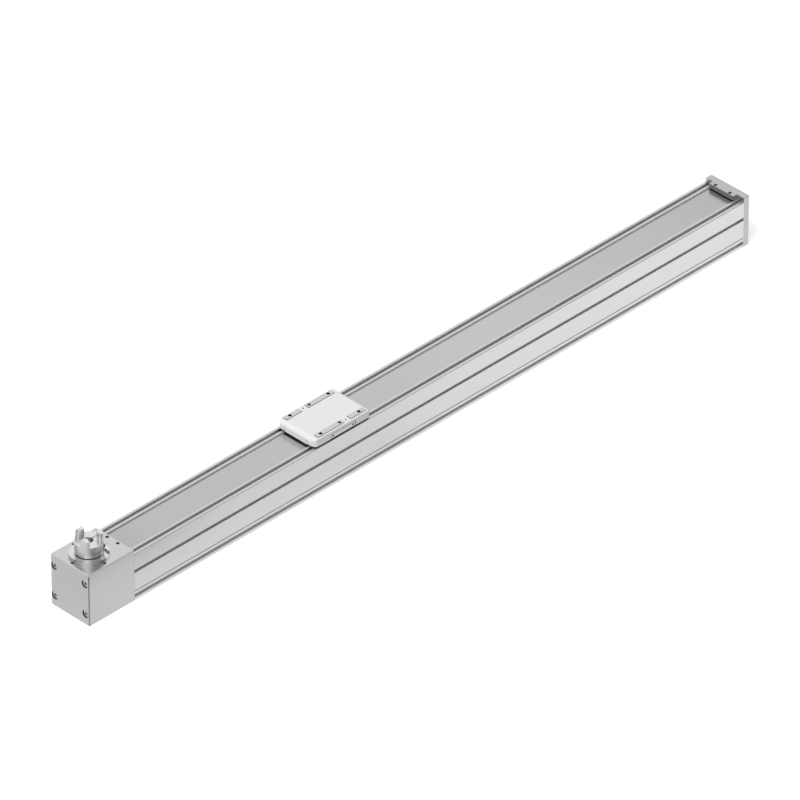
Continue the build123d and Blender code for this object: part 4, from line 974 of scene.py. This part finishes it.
def add_camera():
    """The long lens camera that sees the part from above its near corner."""
    data = bpy.data.cameras.new("camera")
    data.lens = CAMERA_LENS
    data.sensor_width = CAMERA_SENSOR
    data.clip_end = 100.0
    camera = bpy.data.objects.new("camera", data)
    turn, rise = math.radians(CAMERA_AZIMUTH), math.radians(CAMERA_ELEVATION)
    back = Vector((math.cos(rise) * math.cos(turn), math.cos(rise) * math.sin(turn), math.sin(rise)))
    camera.location = Vector(CAMERA_TARGET) + CAMERA_DISTANCE * back
    camera.rotation_mode = "QUATERNION"
    camera.rotation_quaternion = back.to_track_quat("Z", "Y")
    bpy.context.scene.collection.objects.link(camera)
    bpy.context.scene.camera = camera
    return camera


def light_world(scene):
    """A soft even studio: white to the camera, walls in the metal, mid grey as light on the part."""
    world = bpy.data.worlds.new("studio")
    world.use_nodes = True
    tree = world.node_tree
    tree.nodes.clear()
    path = add_node(tree, "ShaderNodeLightPath")
    seen = add_node(
        tree,
        "ShaderNodeMath",
        {0: path.outputs["Is Camera Ray"], 1: path.outputs["Is Transmission Ray"]},
        operation="MAXIMUM",
    )
    soft = add_node(tree, "ShaderNodeBackground", {"Color": (1, 1, 1, 1), "Strength": ROOM_LIGHT})
    white = add_node(tree, "ShaderNodeBackground", {"Color": (1, 1, 1, 1), "Strength": 1.0})
    mirrored = add_node(tree, "ShaderNodeBackground", {"Color": studio_walls(tree), "Strength": 1.0})
    glossy = add_node(
        tree,
        "ShaderNodeMixShader",
        {
            "Fac": path.outputs["Is Glossy Ray"],
            1: soft.outputs["Background"],
            2: mirrored.outputs["Background"],
        },
    )
    mixed = add_node(
        tree,
        "ShaderNodeMixShader",
        {"Fac": seen.outputs["Value"], 1: glossy.outputs["Shader"], 2: white.outputs["Background"]},
    )
    add_node(tree, "ShaderNodeOutputWorld", {"Surface": mixed.outputs["Shader"]})
    scene.world = world


def studio_walls(tree):
    """What metal mirrors: pale and grey walls by their direction, with a plain foot and a white ceiling."""
    place = add_node(tree, "ShaderNodeTexCoord")
    parts = add_node(tree, "ShaderNodeSeparateXYZ", {"Vector": place.outputs["Generated"]})
    turned = add_node(
        tree, "ShaderNodeMath", {0: parts.outputs["Y"], 1: parts.outputs["X"]}, operation="ARCTAN2"
    )
    # Directions from -180 to 180 degrees become 0 to 1
    share = add_node(
        tree,
        "ShaderNodeMapRange",
        {"Value": turned.outputs["Value"], "From Min": -math.pi, "From Max": math.pi},
    )
    walls = add_node(tree, "ShaderNodeValToRGB", {"Fac": share.outputs["Result"]})
    set_stops(walls.color_ramp, [((degrees + 180) / 360, level) for degrees, level in WALLS])
    lower, upper = [
        add_node(
            tree,
            "ShaderNodeMapRange",
            {
                "Value": parts.outputs["Z"],
                "From Min": math.sin(math.radians(start)),
                "From Max": math.sin(math.radians(stop)),
            },
            interpolation_type="SMOOTHSTEP",
        )
        for start, stop in (PLAIN_WALL_ENDS, CEILING_STARTS)
    ]
    ceiled = add_node(
        tree,
        "ShaderNodeMix",
        {0: upper.outputs["Result"], 6: walls.outputs["Color"], 7: (1, 1, 1, 1)},
        data_type="RGBA",
    )
    footed = add_node(
        tree,
        "ShaderNodeMix",
        {0: lower.outputs["Result"], 6: (PLAIN_WALL, PLAIN_WALL, PLAIN_WALL, 1), 7: ceiled.outputs[2]},
        data_type="RGBA",
    )
    return footed.outputs[2]


class AXIS_PT_panel(bpy.types.Panel):
    """Lists the steps that dress the axis"""

    bl_idname = "AXIS_PT_panel"
    bl_label = "Belt Axis"
    bl_space_type = "VIEW_3D"
    bl_region_type = "UI"
    bl_category = "Belt Axis"

    def draw(self, context):
        for step in STEPS:
            self.layout.operator(step.bl_idname)


STEPS = (
    AXIS_OT_profile,
    AXIS_OT_ends,
    AXIS_OT_coupling,
    AXIS_OT_slide,
    AXIS_OT_gap_shade,
    AXIS_OT_strip,
    AXIS_OT_belt,
    AXIS_OT_fasteners,
    AXIS_OT_inside,
    AXIS_OT_studio,
)
CLASSES = (BeltAxisSizes, BeltAxisColours, *STEPS, AXIS_PT_panel)


def register():
    """Adds the classes, and their settings to the scene."""
    for kind in CLASSES:
        bpy.utils.register_class(kind)
    bpy.types.Scene.belt_axis_sizes = PointerProperty(type=BeltAxisSizes)
    bpy.types.Scene.belt_axis_colours = PointerProperty(type=BeltAxisColours)


def unregister():
    """Takes away what register adds."""
    del bpy.types.Scene.belt_axis_colours
    del bpy.types.Scene.belt_axis_sizes
    for kind in reversed(CLASSES):
        bpy.utils.unregister_class(kind)


def main():
    """Dresses the axis step by step."""
    register()
    for step in STEPS:
        group, name = step.bl_idname.split(".")
        getattr(getattr(bpy.ops, group), name)()


if __name__ == "__main__":
    main()
